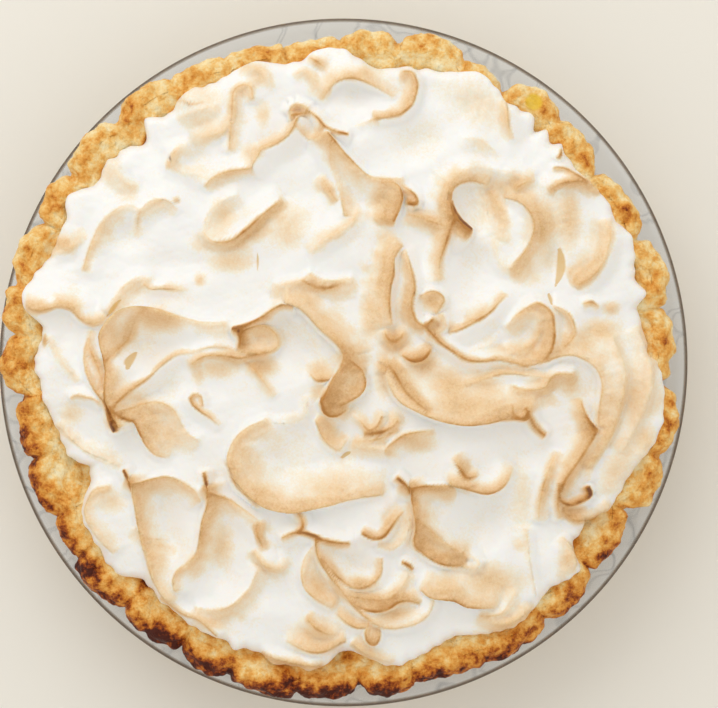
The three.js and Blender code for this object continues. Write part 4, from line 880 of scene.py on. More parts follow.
     [(4, -27.5), (9, -28.5), (14, -29.5)]),
    ("toasted pocket", (2, 4, 2), (6, 2.5), (0.7, 0.6, 0.3), (WIDE, CUT), 0,
     [(-9, -20), (-7.5, -24), (-4.5, -28), (-1.5, -29.5), (1, -26)]),
    ("boomerang", (3, 8, 2), (13, 3), (0.5, 0.85, 0.6), (WIDE, CUT), 0,
     [(-26.5, -19.5), (-31.5, -21.5), (-35.5, -24.5), (-38, -28.5), (-39, -32.5), (-37.5, -37.5),
      (-34.5, -42), (-31, -45.5), (-27, -48.5), (-22, -50), (-16.5, -50.5), (-11, -49.5), (-4.5, -48),
      (3, -46), (12.5, -44.5)]),
    ("boomerang, fold", (3, 4, 4), (2.5, 2), (0.8, 0.6, 0.5), (WIDE, CUT), 0,
     [(-38.5, -35), (-36.5, -41), (-30.5, -47)]),
    ("boomerang, crease", (3, 2, 1), (2, 2), (0.4, 0.7, 0.2), (CUT, THIN), 0,
     [(-29.5, -48.5), (-28, -44.5), (-25.5, -41)]),
    ("lip of the south bowl", (1, 1.6, 1), (3, 3), (0.1, 0.2, 0.1), (CUT, SOFT), 0,
     [(-12, -12), (-13, -18), (-17.5, -20), (-24.5, -20.5)]),
    ("white streak in the great arch", (1, 2, 1), (3, 3), (0, 0.1, 0), (CUT, THIN), 0,
     [(-16, 14.5), (-11, 8.5), (-8, 3), (-7, -1)]),
    ("west edge ridge", (3, 5, 2.5), (7, 2.5), (0.9, 0.9, 0.5), (SOFT, THIN), 0.1,
     [(-107, 18), (-103.5, 17.5), (-100, 18), (-95.5, 19), (-92, 18), (-88.5, 14.5), (-85, 13),
      (-81, 14.5)]),
    ("leaf, outer crest", (3, 9, 10), (9, 2.2), (0.3, 0.6, 1.1), (SOFT, CUT), 0.2,
     [(-40, 13.5), (-46.5, 13.5), (-51.5, 14.5), (-56.5, 16), (-62, 18), (-68, 19), (-73, 18.5),
      (-77, 16.5), (-80, 13.5), (-82, 10), (-82, 6.5), (-81, 2.5), (-80, -2), (-80, -6.5), (-80, -11),
      (-79, -15), (-78, -19), (-75.5, -22)]),
    ("leaf, inner fold", (4, 3, 1), (2.5, 3), (0.9, 0.8, 0.5), (SOFT, THIN), 0.1,
     [(-76.5, -20.5), (-78, -16), (-79, -10.5), (-79, -6), (-78, -1.5), (-76, 2.5), (-73.5, 6.5),
      (-71.5, 10), (-69.5, 13.5), (-66, 16), (-61.5, 16)]),
    ("leaf, tip", (9, 9.5, 10), (3, 2.6), (0.9, 1.6, 2.6), (THIN, CUT), 0.75,
     [(-80, -10), (-79.5, -15), (-78.5, -19.5), (-77, -23)]),
    ("leaf, lower crest", (9, 5.5, 3), (4, 4.5), (1.3, 0.8, 0.4), (THIN, CUT), 0.2,
     [(-75.5, -21.5), (-75.5, -16.5), (-74.5, -13.5), (-72, -10), (-69, -7.5), (-65.5, -5), (-62.5, -2),
      (-59, 1), (-55.5, 3), (-50.5, 3.5)]),
    ("small leaf, upper edge", (4, 3.5, 2), (3, 5), (0.6, 0.4, 0.3), (CUT, WIDE), 0.1,
     [(-75.5, -16.5), (-71, -14.5), (-66.5, -13.5), (-61.5, -13.5), (-57.5, -15.5), (-55, -20),
      (-52.5, -24), (-49.5, -26)]),
    ("small leaf, lower crest", (5, 5.5, 2), (9, 2.5), (0.8, 0.9, 0.4), (WIDE, CUT), 0.3,
     [(-75.5, -17.5), (-73, -18.5), (-70.5, -20), (-68.5, -24), (-66.5, -28), (-63.5, -31), (-60.5, -32)]),
    ("west slivers, outer", (2, 3.5, 4), (4, 2), (0.4, 0.6, 0.8), (THIN, CUT), 0.2,
     [(-86.5, 8.5), (-87.5, 5), (-87.5, 0), (-86, -5), (-84, -9), (-82, -12), (-79.5, -16)]),
    ("west slivers, inner", (2, 3, 2), (2.5, 2.5), (0.3, 0.7, 0.5), (THIN, THIN), 0.1,
     [(-85.5, 10.5), (-86, 5.5), (-84, 1), (-82.5, -3), (-81, -8)]),
    ("west hook", (2.5, 3.5, 4), (3, 2.5), (0.5, 0.5, 0.3), (CUT, THIN), 0.1,
     [(-92, -12), (-90.5, -11), (-87.5, -11.5), (-84, -12.5), (-82, -14)]),
    ("west crease", (2, 1.4, 1), (3, 3), (0.3, 0.2, 0.3), (THIN, THIN), 0,
     [(-100, 8.5), (-98.5, 5), (-96, 1), (-92.5, -3), (-90, -6)]),
    ("south-west crease", (1.5, 1.8, 1), (4, 3), (0.4, 0.3, 0.2), (SOFT, THIN), 0,
     [(-97, -22), (-88, -29.5), (-76.5, -35)]),
    ("pale wave", (3, 3.5, 2), (4, 4), (0.3, 0.4, 0.3), (CUT, WIDE), 0,
     [(-79.5, 18), (-77.5, 21), (-75.5, 24), (-73, 26.5), (-69.5, 28.5), (-66, 28)]),
    ("pale wave, trail", (1.5, 2, 0.5), (3, 2), (0.4, 0.7, 0.1), (THIN, CUT), 0,
     [(-67.5, 26.5), (-65, 25), (-61, 25), (-53, 24.5)]),
    ("middle-west nick", (3, 3.5, 1.5), (2.5, 3), (1, 0.7, 0.2), (THIN, CUT), 0.2,
     [(-51.5, -12), (-51, -13.5), (-48.5, -16), (-45.5, -18), (-42, -21)]),
    ("middle-west nick, loop", (3, 3, 2), (2, 2), (0.8, 0.7, 0.6), (CUT, THIN), 0.1,
     [(-51.5, -12), (-50, -10.5), (-48, -11.5), (-47.5, -14.5)]),
    ("scroll, lower crest", (3, 5, 2), (6, 3), (0.3, 1, 0.6), (CUT, WIDE), 0.2,
     [(-47, 43.5), (-44.5, 41), (-41, 40.5), (-37, 41.5), (-33, 44.5), (-27.5, 49.5), (-21.5, 54.5)]),
    ("scroll, outer arc", (2, 2.6, 1.5), (3, 4), (0.3, 0.2, 0.2), (CUT, WIDE), 0,
     [(-47, 43.5), (-46.5, 48), (-44, 52.5), (-40.5, 55), (-36, 56.5)]),
    ("middle-north streak", (1.5, 3, 1.5), (3, 4), (0.3, 0.5, 0.3), (SOFT, THIN), 0,
     [(-10.5, 37.5), (-6, 41), (-1, 44), (2.5, 47), (5, 51)]),
    ("south-west peak, top", (6.5, 5, 3), (2.5, 5.5), (1.1, 0.7, 0.4), (CUT, SOFT), 0,
     [(-72.3, -38.8), (-71, -39.4), (-67.8, -40), (-64.4, -39.2), (-60, -38.5), (-56.5, -39.2),
      (-53.2, -41), (-50, -43.5), (-48.5, -46.5)]),
    ("south-west peak, thorn", (8, 8, 6), (2.5, 2.5), (1, 0.9, 0.6), (CUT, CUT), 0.5,
     [(-73.8, -36.2), (-73, -38), (-72.2, -40), (-71.3, -43.5)]),
    ("south-west peak, west wall", (7, 6, 4), (6, 2.5), (1, 0.7, 0.5), (SOFT, CUT), 0,
     [(-72.4, -39.5), (-71.2, -43.8), (-70.2, -49.2), (-69.3, -55.2), (-68, -61), (-66, -67.5),
      (-65, -72.5), (-63, -77.5), (-60, -81.5)]),
    ("south-west bowl, ripple", (2, 1.5, 0.8), (3, 3), (0.4, 0.4, 0.1), (CUT, SOFT), 0.1,
     [(-69.5, -56), (-67.5, -58.5), (-64.5, -59.5), (-60, -60.5)]),
    ("south-west bowl, lower ripple", (0.8, 1, 0.5), (3, 3), (0.3, 0.4, 0.2), (THIN, THIN), 0,
     [(-66, -60.5), (-62, -62), (-57.5, -64)]),
    ("south peak, west wall", (7, 6, 4.5), (6, 3), (0.9, 0.8, 0.5), (SOFT, CUT), 0,
     [(-45.8, -42), (-45.6, -45), (-46, -49), (-47.2, -52.5), (-48, -57), (-48.5, -61), (-50, -65),
      (-53, -68), (-56, -70.5), (-57.5, -73.5), (-57, -77)]),
    ("south peak, east wall", (6.5, 5, 3), (3, 6.5), (1.3, 0.6, 0.3), (CUT, SOFT), 0,
     [(-45.8, -41.2), (-44.8, -42.2), (-42.9, -43.7), (-40.3, -45.3), (-37, -47), (-33.5, -49.5),
      (-30, -52), (-27, -54.5)]),
    ("south peak, thorn", (8, 8, 6), (2.5, 2.5), (1, 0.9, 0.6), (CUT, CUT), 0.6,
     [(-46.8, -37), (-46.4, -39.2), (-45.8, -42), (-45.6, -46)]),
    ("rim under the south bowl", (2, 3.5, 2.5), (4, 4), (0.4, 0.5, 0.3), (CUT, WIDE), 0,
     [(-49.5, -83.5), (-45, -84), (-39.5, -83), (-35, -80), (-31.5, -76), (-29, -70.5)]),
    ("drip, upper", (2, 3.2, 2), (3, 3), (0.9, 1.1, 0.5), (SOFT, THIN), 0.1,
     [(-29.5, -55), (-28.5, -59), (-27, -62.5)]),
    ("drip, lower", (2, 4.5, 2), (6, 2.5), (0.5, 0.6, 0.3), (THIN, SOFT), 0,
     [(-30, -64), (-27.5, -67.5), (-24.5, -69.5), (-21.5, -70), (-19, -67.5)]),
    ("west shoulder", (2, 3.5, 2), (6, 3), (0.5, 0.5, 0.4), (SOFT, CUT), 0,
     [(-79.5, -42), (-84, -43), (-86.5, -46), (-88, -50), (-87, -54.5), (-83.5, -59.5), (-78.5, -64.5)]),
    ("south-west edge fold", (2, 3, 3.5), (4, 2.5), (0.5, 0.8, 0.6), (THIN, CUT), 0.1,
     [(-62, -80.5), (-58, -83.5), (-54, -86), (-50, -87), (-46, -90), (-43.5, -93)]),
    ("south crest", (4, 6.5, 3), (4, 4), (0.5, 1.4, 0.8), (CUT, THIN), 0.4,
     [(-20.5, -59), (-17.5, -57.5), (-14, -57), (-10, -58), (-6.5, -59.5), (-2.5, -60.5), (2, -61)]),
    ("south crest, pinch", (2, 6, 6), (3, 3), (0.5, 0.8, 1.2), (THIN, THIN), 0.3,
     [(-16, -50), (-14, -52.5), (-13.5, -55), (-15, -57)]),
    ("swirl, outer sweep", (7, 5, 3), (5, 3), (1, 0.7, 0.3), (THIN, CUT), 0.1,
     [(-9.5, -59.5), (-8.5, -65), (-5.5, -70.5), (-0.5, -77), (4, -82.5), (8.5, -86.5), (14, -89.5),
      (20, -89.5), (26, -87.5), (29.5, -84), (30.5, -80)]),
    ("swirl, inner bowl", (2, 4.5, 1.5), (6, 3.5), (0.8, 0.9, 0.5), (THIN, CUT), 0.1,
     [(-7, -65.5), (-4, -69.5), (-1, -73), (2.5, -75.5), (6.5, -76), (10, -74.5), (12.5, -71.5),
      (13, -66.5)]),
    ("swirl, second fold", (2, 3.5, 1.5), (3, 3), (0.5, 0.8, 0.3), (SOFT, SOFT), 0.1,
     [(-3, -73.5), (0.5, -77), (4.5, -79), (9, -80), (14, -80), (18, -78), (20.5, -75), (22, -72)]),
    ("swirl, third fold", (2.5, 5, 2), (4, 2), (0.5, 1.4, 0.8), (SOFT, CUT), 0.3,
     [(2.5, -80.5), (6.5, -83), (11, -84), (15.5, -83), (18.5, -81), (22, -80.5), (25.5, -81.5)]),
    ("swirl, west lobe", (3, 4.5, 3), (5, 2.2), (0.3, 0.5, 0.5), (WIDE, CUT), 0.1,
     [(-10, -61.5), (-13, -66), (-14, -71), (-13, -76), (-9, -80), (-4.5, -82.5)]),
    ("swirl, lower roll", (1, 3, 3), (3, 2.2), (0.5, 0.8, 0.6), (SOFT, CUT), 0.1,
     [(-1.5, -85.5), (1.5, -88), (4.5, -89.5), (8.5, -89.5)]),
    ("finger", (3, 5, 2), (4, 2), (0.4, 1.1, 0.6), (SOFT, CUT), 0.2,
     [(8.5, -87.5), (7.5, -91.5), (8.5, -94.5), (10.5, -95.5), (12, -94), (12.5, -90)]),
    ("south-east peak, long crest", (8, 7, 6.5), (2.6, 5), (1.4, 1.2, 0.9), (CUT, SOFT), 0.1,
     [(20.6, -40.3), (22.5, -41), (25.5, -41.2), (30.7, -41.5), (36.7, -41.4)]),
    ("south-east peak, thorn", (9.5, 9.5, 7), (2.5, 2.5), (1.1, 1.1, 0.9), (CUT, THIN), 0.45,
     [(18.3, -38.6), (19.6, -39.8), (21, -41.3), (22.4, -44)]),
    ("south-east peak, hook", (6.5, 6, 3), (6, 2.4), (0.9, 1.2, 0.3), (SOFT, CUT), 0.1,
     [(36, -41.3), (39.5, -42), (43, -43), (48, -44.2), (52, -43.2), (55, -40.5), (57, -36)]),
    ("south-east peak, down crest", (8, 6, 4), (6, 2.4), (1.3, 1.1, 1.1), (3.2, CUT), 0.1,
     [(21.6, -42), (22.9, -45.5), (23.8, -51), (24.6, -56), (23.9, -60.5), (25, -63)]),
    ("south-east peak, bowl side", (3, 4, 3), (4, 5), (0.5, 0.7, 0.4), (CUT, WIDE), 0,
     [(25, -48), (26.5, -52.5), (29.5, -56.5), (34, -60.5), (40, -64.5)]),
    ("south-east peak, foot", (3, 5, 2), (5, 2.5), (1, 1.3, 1), (WIDE, CUT), 0.1,
     [(25.5, -63), (28.5, -65.5), (32, -67.5), (36, -68.5), (40, -68.5)]),
    ("south-east peak, white cap", (1, 3, 1.5), (2.5, 2), (0.3, 0.3, 0.5), (CUT, CUT), 0,
     [(39, -64.5), (43, -65.5), (46, -67.5), (45, -69), (41, -69)]),
    ("thorn", (5, 5, 2), (2.5, 2.5), (1, 1.1, 0.4), (SOFT, CUT), 0.3,
     [(6.5, -57.5), (9.5, -59), (13, -59), (15.5, -56.5), (17.5, -53.5), (20, -50.5)]),
    ("nick under the thorn", (2, 2.5, 1), (2, 2), (0.9, 1.3, 0.9), (CUT, CUT), 0.25,
     [(20, -67.5), (22, -68.5), (23.5, -70)]),
    ("lobe beside the thorn", (2, 3, 2.5), (4, 3), (0.4, 0.3, 0.1), (SOFT, CUT), 0,
     [(12, -62), (16, -63), (19, -61.5), (21.5, -58), (22.5, -53), (23, -49)]),
    ("toasted shelf", (3, 6, 3.5), (9, 2.2), (0.6, 0.9, 0.5), (WIDE, CUT), 0.3,
     [(26.5, -77), (29.5, -79.5), (33.5, -80), (37.5, -80.5), (41.5, -82.5), (45.5, -83), (50.5, -83)]),
    ("south curl", (3, 4.5, 2), (3, 3), (0.8, 0.9, 0.3), (SOFT, THIN), 0.1,
     [(-12, -87), (-9.5, -89.5), (-6, -91.5), (-2.5, -92)]),
    ("south edge wave", (2, 4.5, 2), (4, 2.2), (0.3, 0.8, 0.8), (SOFT, CUT), 0.2,
     [(-19, -94.5), (-15.5, -96.5), (-11.5, -98), (-7, -98), (-3.5, -96.5), (0.5, -94.5)]),
    ("south edge hem", (2, 3, 2), (4, 2.5), (0.7, 0.9, 0.7), (THIN, SOFT), 0,
     [(-27.5, -99.5), (-18, -102.5), (-8, -103.5)]),
    ("south hem, east", (1.5, 2, 1), (3, 2), (0.6, 0.7, 0.3), (SOFT, THIN), 0,
     [(3, -95.5), (6.5, -98.5), (11, -100.5), (16, -102)]),
    ("south-east dab", (2, 4.5, 3.5), (3, 3), (0.5, 1.2, 0.5), (SOFT, CUT), 0.2,
     [(37.5, -32.5), (39.5, -36), (42, -38.5), (45, -38)]),
    ("south-east dab, fold", (2, 2.5, 2), (2, 2), (0.3, 0.6, 0.5), (THIN, SOFT), 0,
     [(40, -40), (42.5, -40.5), (45.5, -40)]),
    ("east strap, outer", (2, 5.5, 3.5), (5, 3.5), (0.4, 0.8, 0.3), (SOFT, THIN), 0.1,
     [(72, -31), (69.5, -36), (67.5, -41.5), (66.5, -46.5), (66, -52.5)]),
    ("east strap, inner", (3, 5, 3.5), (3, 4), (0.4, 1, 0.6), (SOFT, THIN), 0.2,
     [(82, -30), (78.5, -34.5), (75, -39.5), (73, -44), (72.5, -48), (73.5, -52)]),
    ("claw", (3, 4.5, 5.5), (2.2, 2), (0.6, 1, 1.6), (THIN, CUT), 0.8,
     [(72.5, -40.5), (72.5, -44.5), (74.5, -47.5), (77.5, -48), (81, -46.5), (83.5, -44.5), (82.5, -42)]),
    ("east edge nick", (2, 3.5, 2.5), (2.5, 3), (0.3, 0.3, 0.3), (CUT, THIN), 0,
     [(86, -29.5), (83.5, -32), (83, -36.5), (83.5, -39.5)]),
    ("east hem", (3, 3.5, 2), (4, 2.5), (1.2, 0.8, 0.5), (SOFT, THIN), 0,
     [(74.5, -50), (77.5, -53), (81, -54), (85.5, -53.5), (90.5, -49.5)]),
    ("south-east seam", (2, 3, 2), (3, 4), (0.3, 0.2, 0.2), (CUT, THIN), 0,
     [(62, -56.5), (62.5, -62.5), (63.5, -69.5), (65.5, -79)]),
    ("south-east fold", (1.5, 3, 1.5), (2, 4), (0.3, 0.6, 0.3), (CUT, SOFT), 0,
     [(74.5, -59.5), (78, -62.5), (79.6, -66.5), (78.5, -71)]),
    ("south-east ripple", (2, 2.4, 1.5), (3, 3), (0.5, 0.3, 0.2), (CUT, SOFT), 0.1,
     [(46.5, -86), (53.5, -85), (58.5, -78)]),
    ("south-east hem", (2, 2.6, 2), (3, 2.5), (0.4, 0.7, 0.6), (SOFT, WIDE), 0,
     [(47.5, -87), (55.5, -89), (63.5, -84.5)]),
]

# Scooped hollows: middle, half length, half width, turn in degrees, depth.
HOLLOWS = [
    (46.5, 52.5, 12, 12, 0, 4.5), (44.5, 31, 14, 10, 60, 4), (24, 75, 16, 9, 20, 4),
    (4, 91, 8, 5, 0, 2.5), (-66.5, 7, 13, 8, 0, 5), (-60.5, -9, 10, 5, 20, 2.5),
    (-50.5, 69.5, 6, 4, 20, 3), (-74, 43.5, 9, 6, 0, 2.5), (-14, 6, 15, 9, -40, 4.5),
    (-12, -33.5, 22, 14, 15, 5), (-61, -55.5, 17, 9, 105, 5), (-41.5, -66, 15, 9, 75, 5),
    (46.5, -54.5, 15, 10, 60, 5), (3, -67.5, 10, 6, -30, 4), (62.5, 9, 7, 6, 0, 3.5),
    (81, -9, 9, 8, 90, 3), (-3, -23, 5, 4, 0, 2), (18, -53.5, 9, 5, 70, 2.5),
    (-38.5, 50.5, 7, 6, 40, 2), (71.5, 34.5, 8, 4, 80, 2.5), (62.5, -30.5, 12, 6, 0, 2.5),
    (-55.5, 34, 16, 6, 10, 2),
]

# Places where the oven has toasted a slope evenly: middle, half sizes, turn, strength.
TOASTED = [
    (-30.5, 71, 5, 4, 0, 0.5), (-27, 84, 3.5, 6, 0, 0.4), (67, 45, 8, 17, 0, 0.45),
    (44, 88, 14, 10, -30, 0.3), (76.5, 49, 5.5, 14, 0, 0.6), (54, 60, 8, 4, 0, 0.5),
    (58.5, 4.5, 13, 3, 0, 0.5), (87, 11, 8, 5, 0, 0.7), (91, 18.5, 4, 3, 0, 0.6),
    (9.5, 17, 5, 12, 0, 0.6), (14, -3, 4, 10, 0, 0.6), (-3, -40, 16, 5, 5, 0.35),
    (-92.5, -17.5, 6, 5, 0, 0.35), (-42.5, -2, 8, 4, 0, 0.5), (-48.5, 28, 2.5, 3, 0, 0.5),
    (-40.5, 50.5, 5.5, 7, 0, 0.38), (-38, 34.5, 9, 5, 0, 0.5), (-62.5, -66, 4, 7, 15, 0.5),
    (-41.5, -61.5, 5, 9, 0, 0.4), (-44.5, -88, 6, 3, -15, 0.6), (8, -80, 11, 3.5, -12, 0.8),
    (18.5, -79.5, 8, 4, 0, 0.6), (50, -74, 16, 7.5, -10, 0.52), (60.5, -45.5, 5, 14, 0, 0.25),
    (79, -50.5, 5, 3, 0, 0.6), (76, -67, 4, 6, 0, 0.6), (-62.5, 13.5, 12, 4.5, -8, 0.8),
    (-76, 7.5, 4, 9, 0, 0.5), (-62, -21, 10, 7, 0, 0.32), (42, -12.5, 18, 6, 0, 0.7),
    (55.5, -16, 6, 4, 0, 0.95), (25, -27, 9, 4, 0, 0.5), (-101.5, 7.5, 1.2, 2.6, 0, 1.3),
    (-56.5, 55, 1.6, 1.6, 0, 0.7), (-27.5, -1, 7, 5, 0, 0.7), (-8, -2.5, 5, 4, 0, 0.5),
    (-8.5, -10, 3, 3.5, 0, 0.5), (99.5, -12.5, 5, 17, 0, 0.5), (102.5, -26, 5, 8, 0, 0.5),
    (-79, 63.5, 4, 6, 0, 0.3), (-95.5, 40.5, 5, 4, 0, 0.75), (-47, 90, 12, 6, 0, 0.28),
    (-47, 81.5, 9, 4, 0, 0.35), (3, 98.5, 9, 3, 0, 0.35), (-29, 96, 5, 3, 0, 0.4),
    (17.5, -19.5, 4, 4, 0, 0.5), (-4.5, -23.5, 4, 5, 0, 0.5), (-26.5, 8.5, 8, 4.5, 0, 0.5),
    (-49, -4, 3, 4, 0, 0.5), (17.5, 7, 7, 6, 0, 0.7), (27, 0, 8, 6, -30, 0.7),
    (36, -7, 10, 6, -25, 0.75), (48, -8, 9, 4, -10, 0.5), (30, 20.5, 4, 3.5, 0, 0.8),
    (82, 7.5, 6, 6, 0, 0.6), (68, -7, 8, 3.5, 0, 0.6), (-50, -69, 4, 6, -20, 0.5),
    (-34, 91.5, 3.2, 3, 0, 0.5), (-8, -75.5, 4.5, 7, 25, 0.6), (93, -36, 6, 13, -30, 0.4),
    (13.5, 56, 6, 7, 0, 0.7), (-19, 45, 11, 9, 35, 0.35), (68, 12, 4, 8, 0, 0.5),
    (31, -60, 9, 4, -50, 0.42), (5.5, -74, 7, 2.4, -5, 0.75), (17, -85.5, 10, 3.5, 10, 0.6),
    (-31, -33, 5, 10, 35, 0.5), (62, -17, 3, 2.5, -50, 0.9), (60, -62, 4, 3, 0, 0.3),
    (75, -71, 3, 5, -30, 0.4), (-9, -93, 12, 7, 0, 0.6), (-78.5, -47.5, 6, 5, 0, 0.35),
    (-59, -25, 7, 6, -40, 0.5),
]

# Drops of clear amber syrup that have wept out: middle of the line between the two points, half
# length, half width, turn in degrees, how far the middle bulges to the left, strength.
AMBER = [
    (72.4, 32.8, 7.2, 2, 84.5, -1.6, 0.9), (69.7, 21.5, 2.7, 1, 106, -0.5, 0.7),
    (-77.6, 18.5, 3.8, 1.1, 50, 0, 0.7), (-70.5, 1, 3.2, 1.4, 76, 0.7, 1),
    (-28.9, 34.5, 3.4, 0.7, 90, 0, 0.5), (1.1, -31.3, 2.6, 0.9, 34, 0.3, 0.9),
]

# %% [markdown]
# ## Meringue: from crests to relief
# A ridge's height at a place depends on how far that place is from its crest, and on which
# side. All ridges are joined by a smooth maximum, the fourth root of the sum of the fourth
# powers, so that crossing folds merge without a seam.

# %% Distance to a crest
CREST_STEP = 1.2
PIECES_BETWEEN_PLACES = 16
END_TAPER = 2.0
ELLIPSE_SHARE = 0.8


def smooth_path(places):
    """A smooth path through the places: cubic pieces whose slopes come from the neighbours,
    then cut into even steps."""
    places = np.array(places, float)
    ends = np.vstack([2 * places[0] - places[1], places, 2 * places[-1] - places[-2]])
    gaps = np.sqrt(np.linalg.norm(np.diff(ends, axis=0), axis=1))[:, None]
    steps = np.diff(ends, axis=0)
    slopes = (steps[:-1] / gaps[:-1] - (ends[2:] - ends[:-2]) / (gaps[:-1] + gaps[1:])
              + steps[1:] / gaps[1:])
    t = np.linspace(0, 1, PIECES_BETWEEN_PLACES, endpoint=False)[None, :, None]
    start, end = places[:-1, None], places[1:, None]
    leave = (slopes[:-1] * gaps[1:-1])[:, None]
    arrive = (slopes[1:] * gaps[1:-1])[:, None]
    curve = ((2 * t ** 3 - 3 * t ** 2 + 1) * start + (t ** 3 - 2 * t ** 2 + t) * leave
             + (3 * t ** 2 - 2 * t ** 3) * end + (t ** 3 - t ** 2) * arrive)
    curve = np.vstack([curve.reshape(-1, 2), places[-1]])
    length = np.concatenate([[0], np.cumsum(np.linalg.norm(np.diff(curve, axis=0), axis=1))])
    even = np.linspace(0, length[-1], max(3, round(length[-1] / CREST_STEP)))
    return np.stack([np.interp(even, length, curve[:, k]) for k in (0, 1)], axis=-1)


def left_of(run):
    """Unit steps along a path, and unit steps a quarter turn to the left of them."""
    unit = run / np.linalg.norm(run, axis=-1, keepdims=True)
    return unit, np.stack([-unit[:, 1], unit[:, 0]], axis=-1)


def nearest_on_crest(x, y, path):
    """For each place: distance to the path, side (1 left to -1 right), how far along the
    nearest point is (0 to 1), and the path's left-pointing normal there. Past the path's ends
    the distance counts twice, so ridges run out in points."""
    start, run = path[:-1], np.diff(path, axis=0)
    from_start = np.stack([x, y], axis=-1)[:, None, :] - start
    along = np.clip(np.sum(from_start * run, axis=-1) / np.sum(run * run, axis=-1), 0, 1)
    away = from_start - along[..., None] * run
    square = np.sum(away * away, axis=-1)
    index = np.argmin(square, axis=1)
    pick = np.arange(len(x))
    unit, left = left_of(run[index])
    across = np.sum(away[pick, index] * left, axis=-1)
    past_end = np.sum(away[pick, index] * unit, axis=-1)
    distance = np.hypot(across, END_TAPER * past_end)
    side = across / (distance + 1e-9)
    share = (index + along[pick, index]) / len(run)
    return distance, side, share, left


def rise_along(rise, share):
    """Height of a crest: the parabola through its heights at the start, middle and end."""
    start, middle, end = rise
    return (start * (1 - share) * (1 - 2 * share) + middle * 4 * share * (1 - share)
            + end * share * (2 * share - 1))


def before_leaning(path, rise, tilt):
    """The path moved back by as far as its crest will lean, so that the crest ends up on it."""
    _, left = left_of(np.gradient(path, axis=0))
    return path - LEAN * tilt * rise_along(rise, np.linspace(0, 1, len(path)))[:, None] * left


def turned_axes(x, y, middle_x, middle_y, degrees):
    """How far each place lies lengthwise and across from the middle of a turned shape."""
    cos, sin = math.cos(math.radians(degrees)), math.sin(math.radians(degrees))
    return ((x - middle_x) * cos + (y - middle_y) * sin,
            (y - middle_y) * cos - (x - middle_x) * sin)


def ellipse_bell(x, y, middle_x, middle_y, half_length, half_width, degrees):
    """A cosine bell over a turned ellipse. It reaches 0 a quarter outside the ellipse."""
    lengthwise, across = turned_axes(x, y, middle_x, middle_y, degrees)
    return bell(ELLIPSE_SHARE * np.hypot(lengthwise / half_length, across / half_width))


def drop_bell(x, y, middle_x, middle_y, half_length, half_width, degrees, bulge):
    """A drop with two points: 1 on its middle line, falling evenly to 0 at its border. Both
    the line's bulge and the half width shrink as 1 - t^2 towards the points."""
    lengthwise, across = turned_axes(x, y, middle_x, middle_y, degrees)
    fullness = np.clip(1 - (lengthwise / half_length) ** 2, 1e-6, 1)
    return np.clip(1 - np.abs(across - bulge * fullness) / (half_width * fullness), 0, 1)


# %% Relief and toasting at every place
CREST_ROUNDING = 0.35
FLANK_MARGIN = 0.8
RIDGE_BLEND = 4
HEAT_BLEND = 3
LEAN = 0.5
STREAK_DEPTH = 0.22
STREAK_WIDTH = 2.6
STREAK_DRIFT = 2.2
STREAK_TOAST = 0.12
FADING_STEEPNESS = 2.2
RAGGED_BORDERS = ((0.22, 14, 41), (0.12, 5, 42))
LINE_REACH = 1.9
LINE_DARKNESS = 0.13
SOFT_LINE_SHARE = 0.4
HOTTEST_LINE = 1.4
TIP_SHORTNESS = 3
CELL = 0.7


def tilt_of(flanks):
    """Which way a ridge leans: positive to its left, where that slope is the shorter one."""
    return (flanks[1] - flanks[0]) / sum(flanks)


def points_near(x, y, path, margin):
    """Indices of the places in the path's bounding box grown by a margin."""
    low, high = path.min(axis=0) - margin, path.max(axis=0) + margin
    return np.flatnonzero((x > low[0]) & (x < high[0]) & (y > low[1]) & (y < high[1]))


def pulled_to_crests(x, y, paths):
    """Slides every place that is less than a cell from a crest towards it, and those nearer
    than half a cell onto it, so that crests run through grid points and not between them."""
    nearest = np.full_like(x, CELL)
    shift = np.zeros((len(x), 2))
    for path in paths:
        near = points_near(x, y, path, CELL)
        distance, side, _, left = nearest_on_crest(x[near], y[near], path)
        past_end = distance * np.sqrt(np.clip(1 - side ** 2, 0, 1))
        pull = 1 - smooth_step(CELL / 2, CELL, distance)
        pull = pull * (1 - smooth_step(0.1, CELL / 2, past_end))
        closer = distance < nearest[near]
        nearest[near[closer]] = distance[closer]
        shift[near[closer]] = (-left * (distance * side * pull)[:, None])[closer]
    return x + shift[:, 0], y + shift[:, 1]


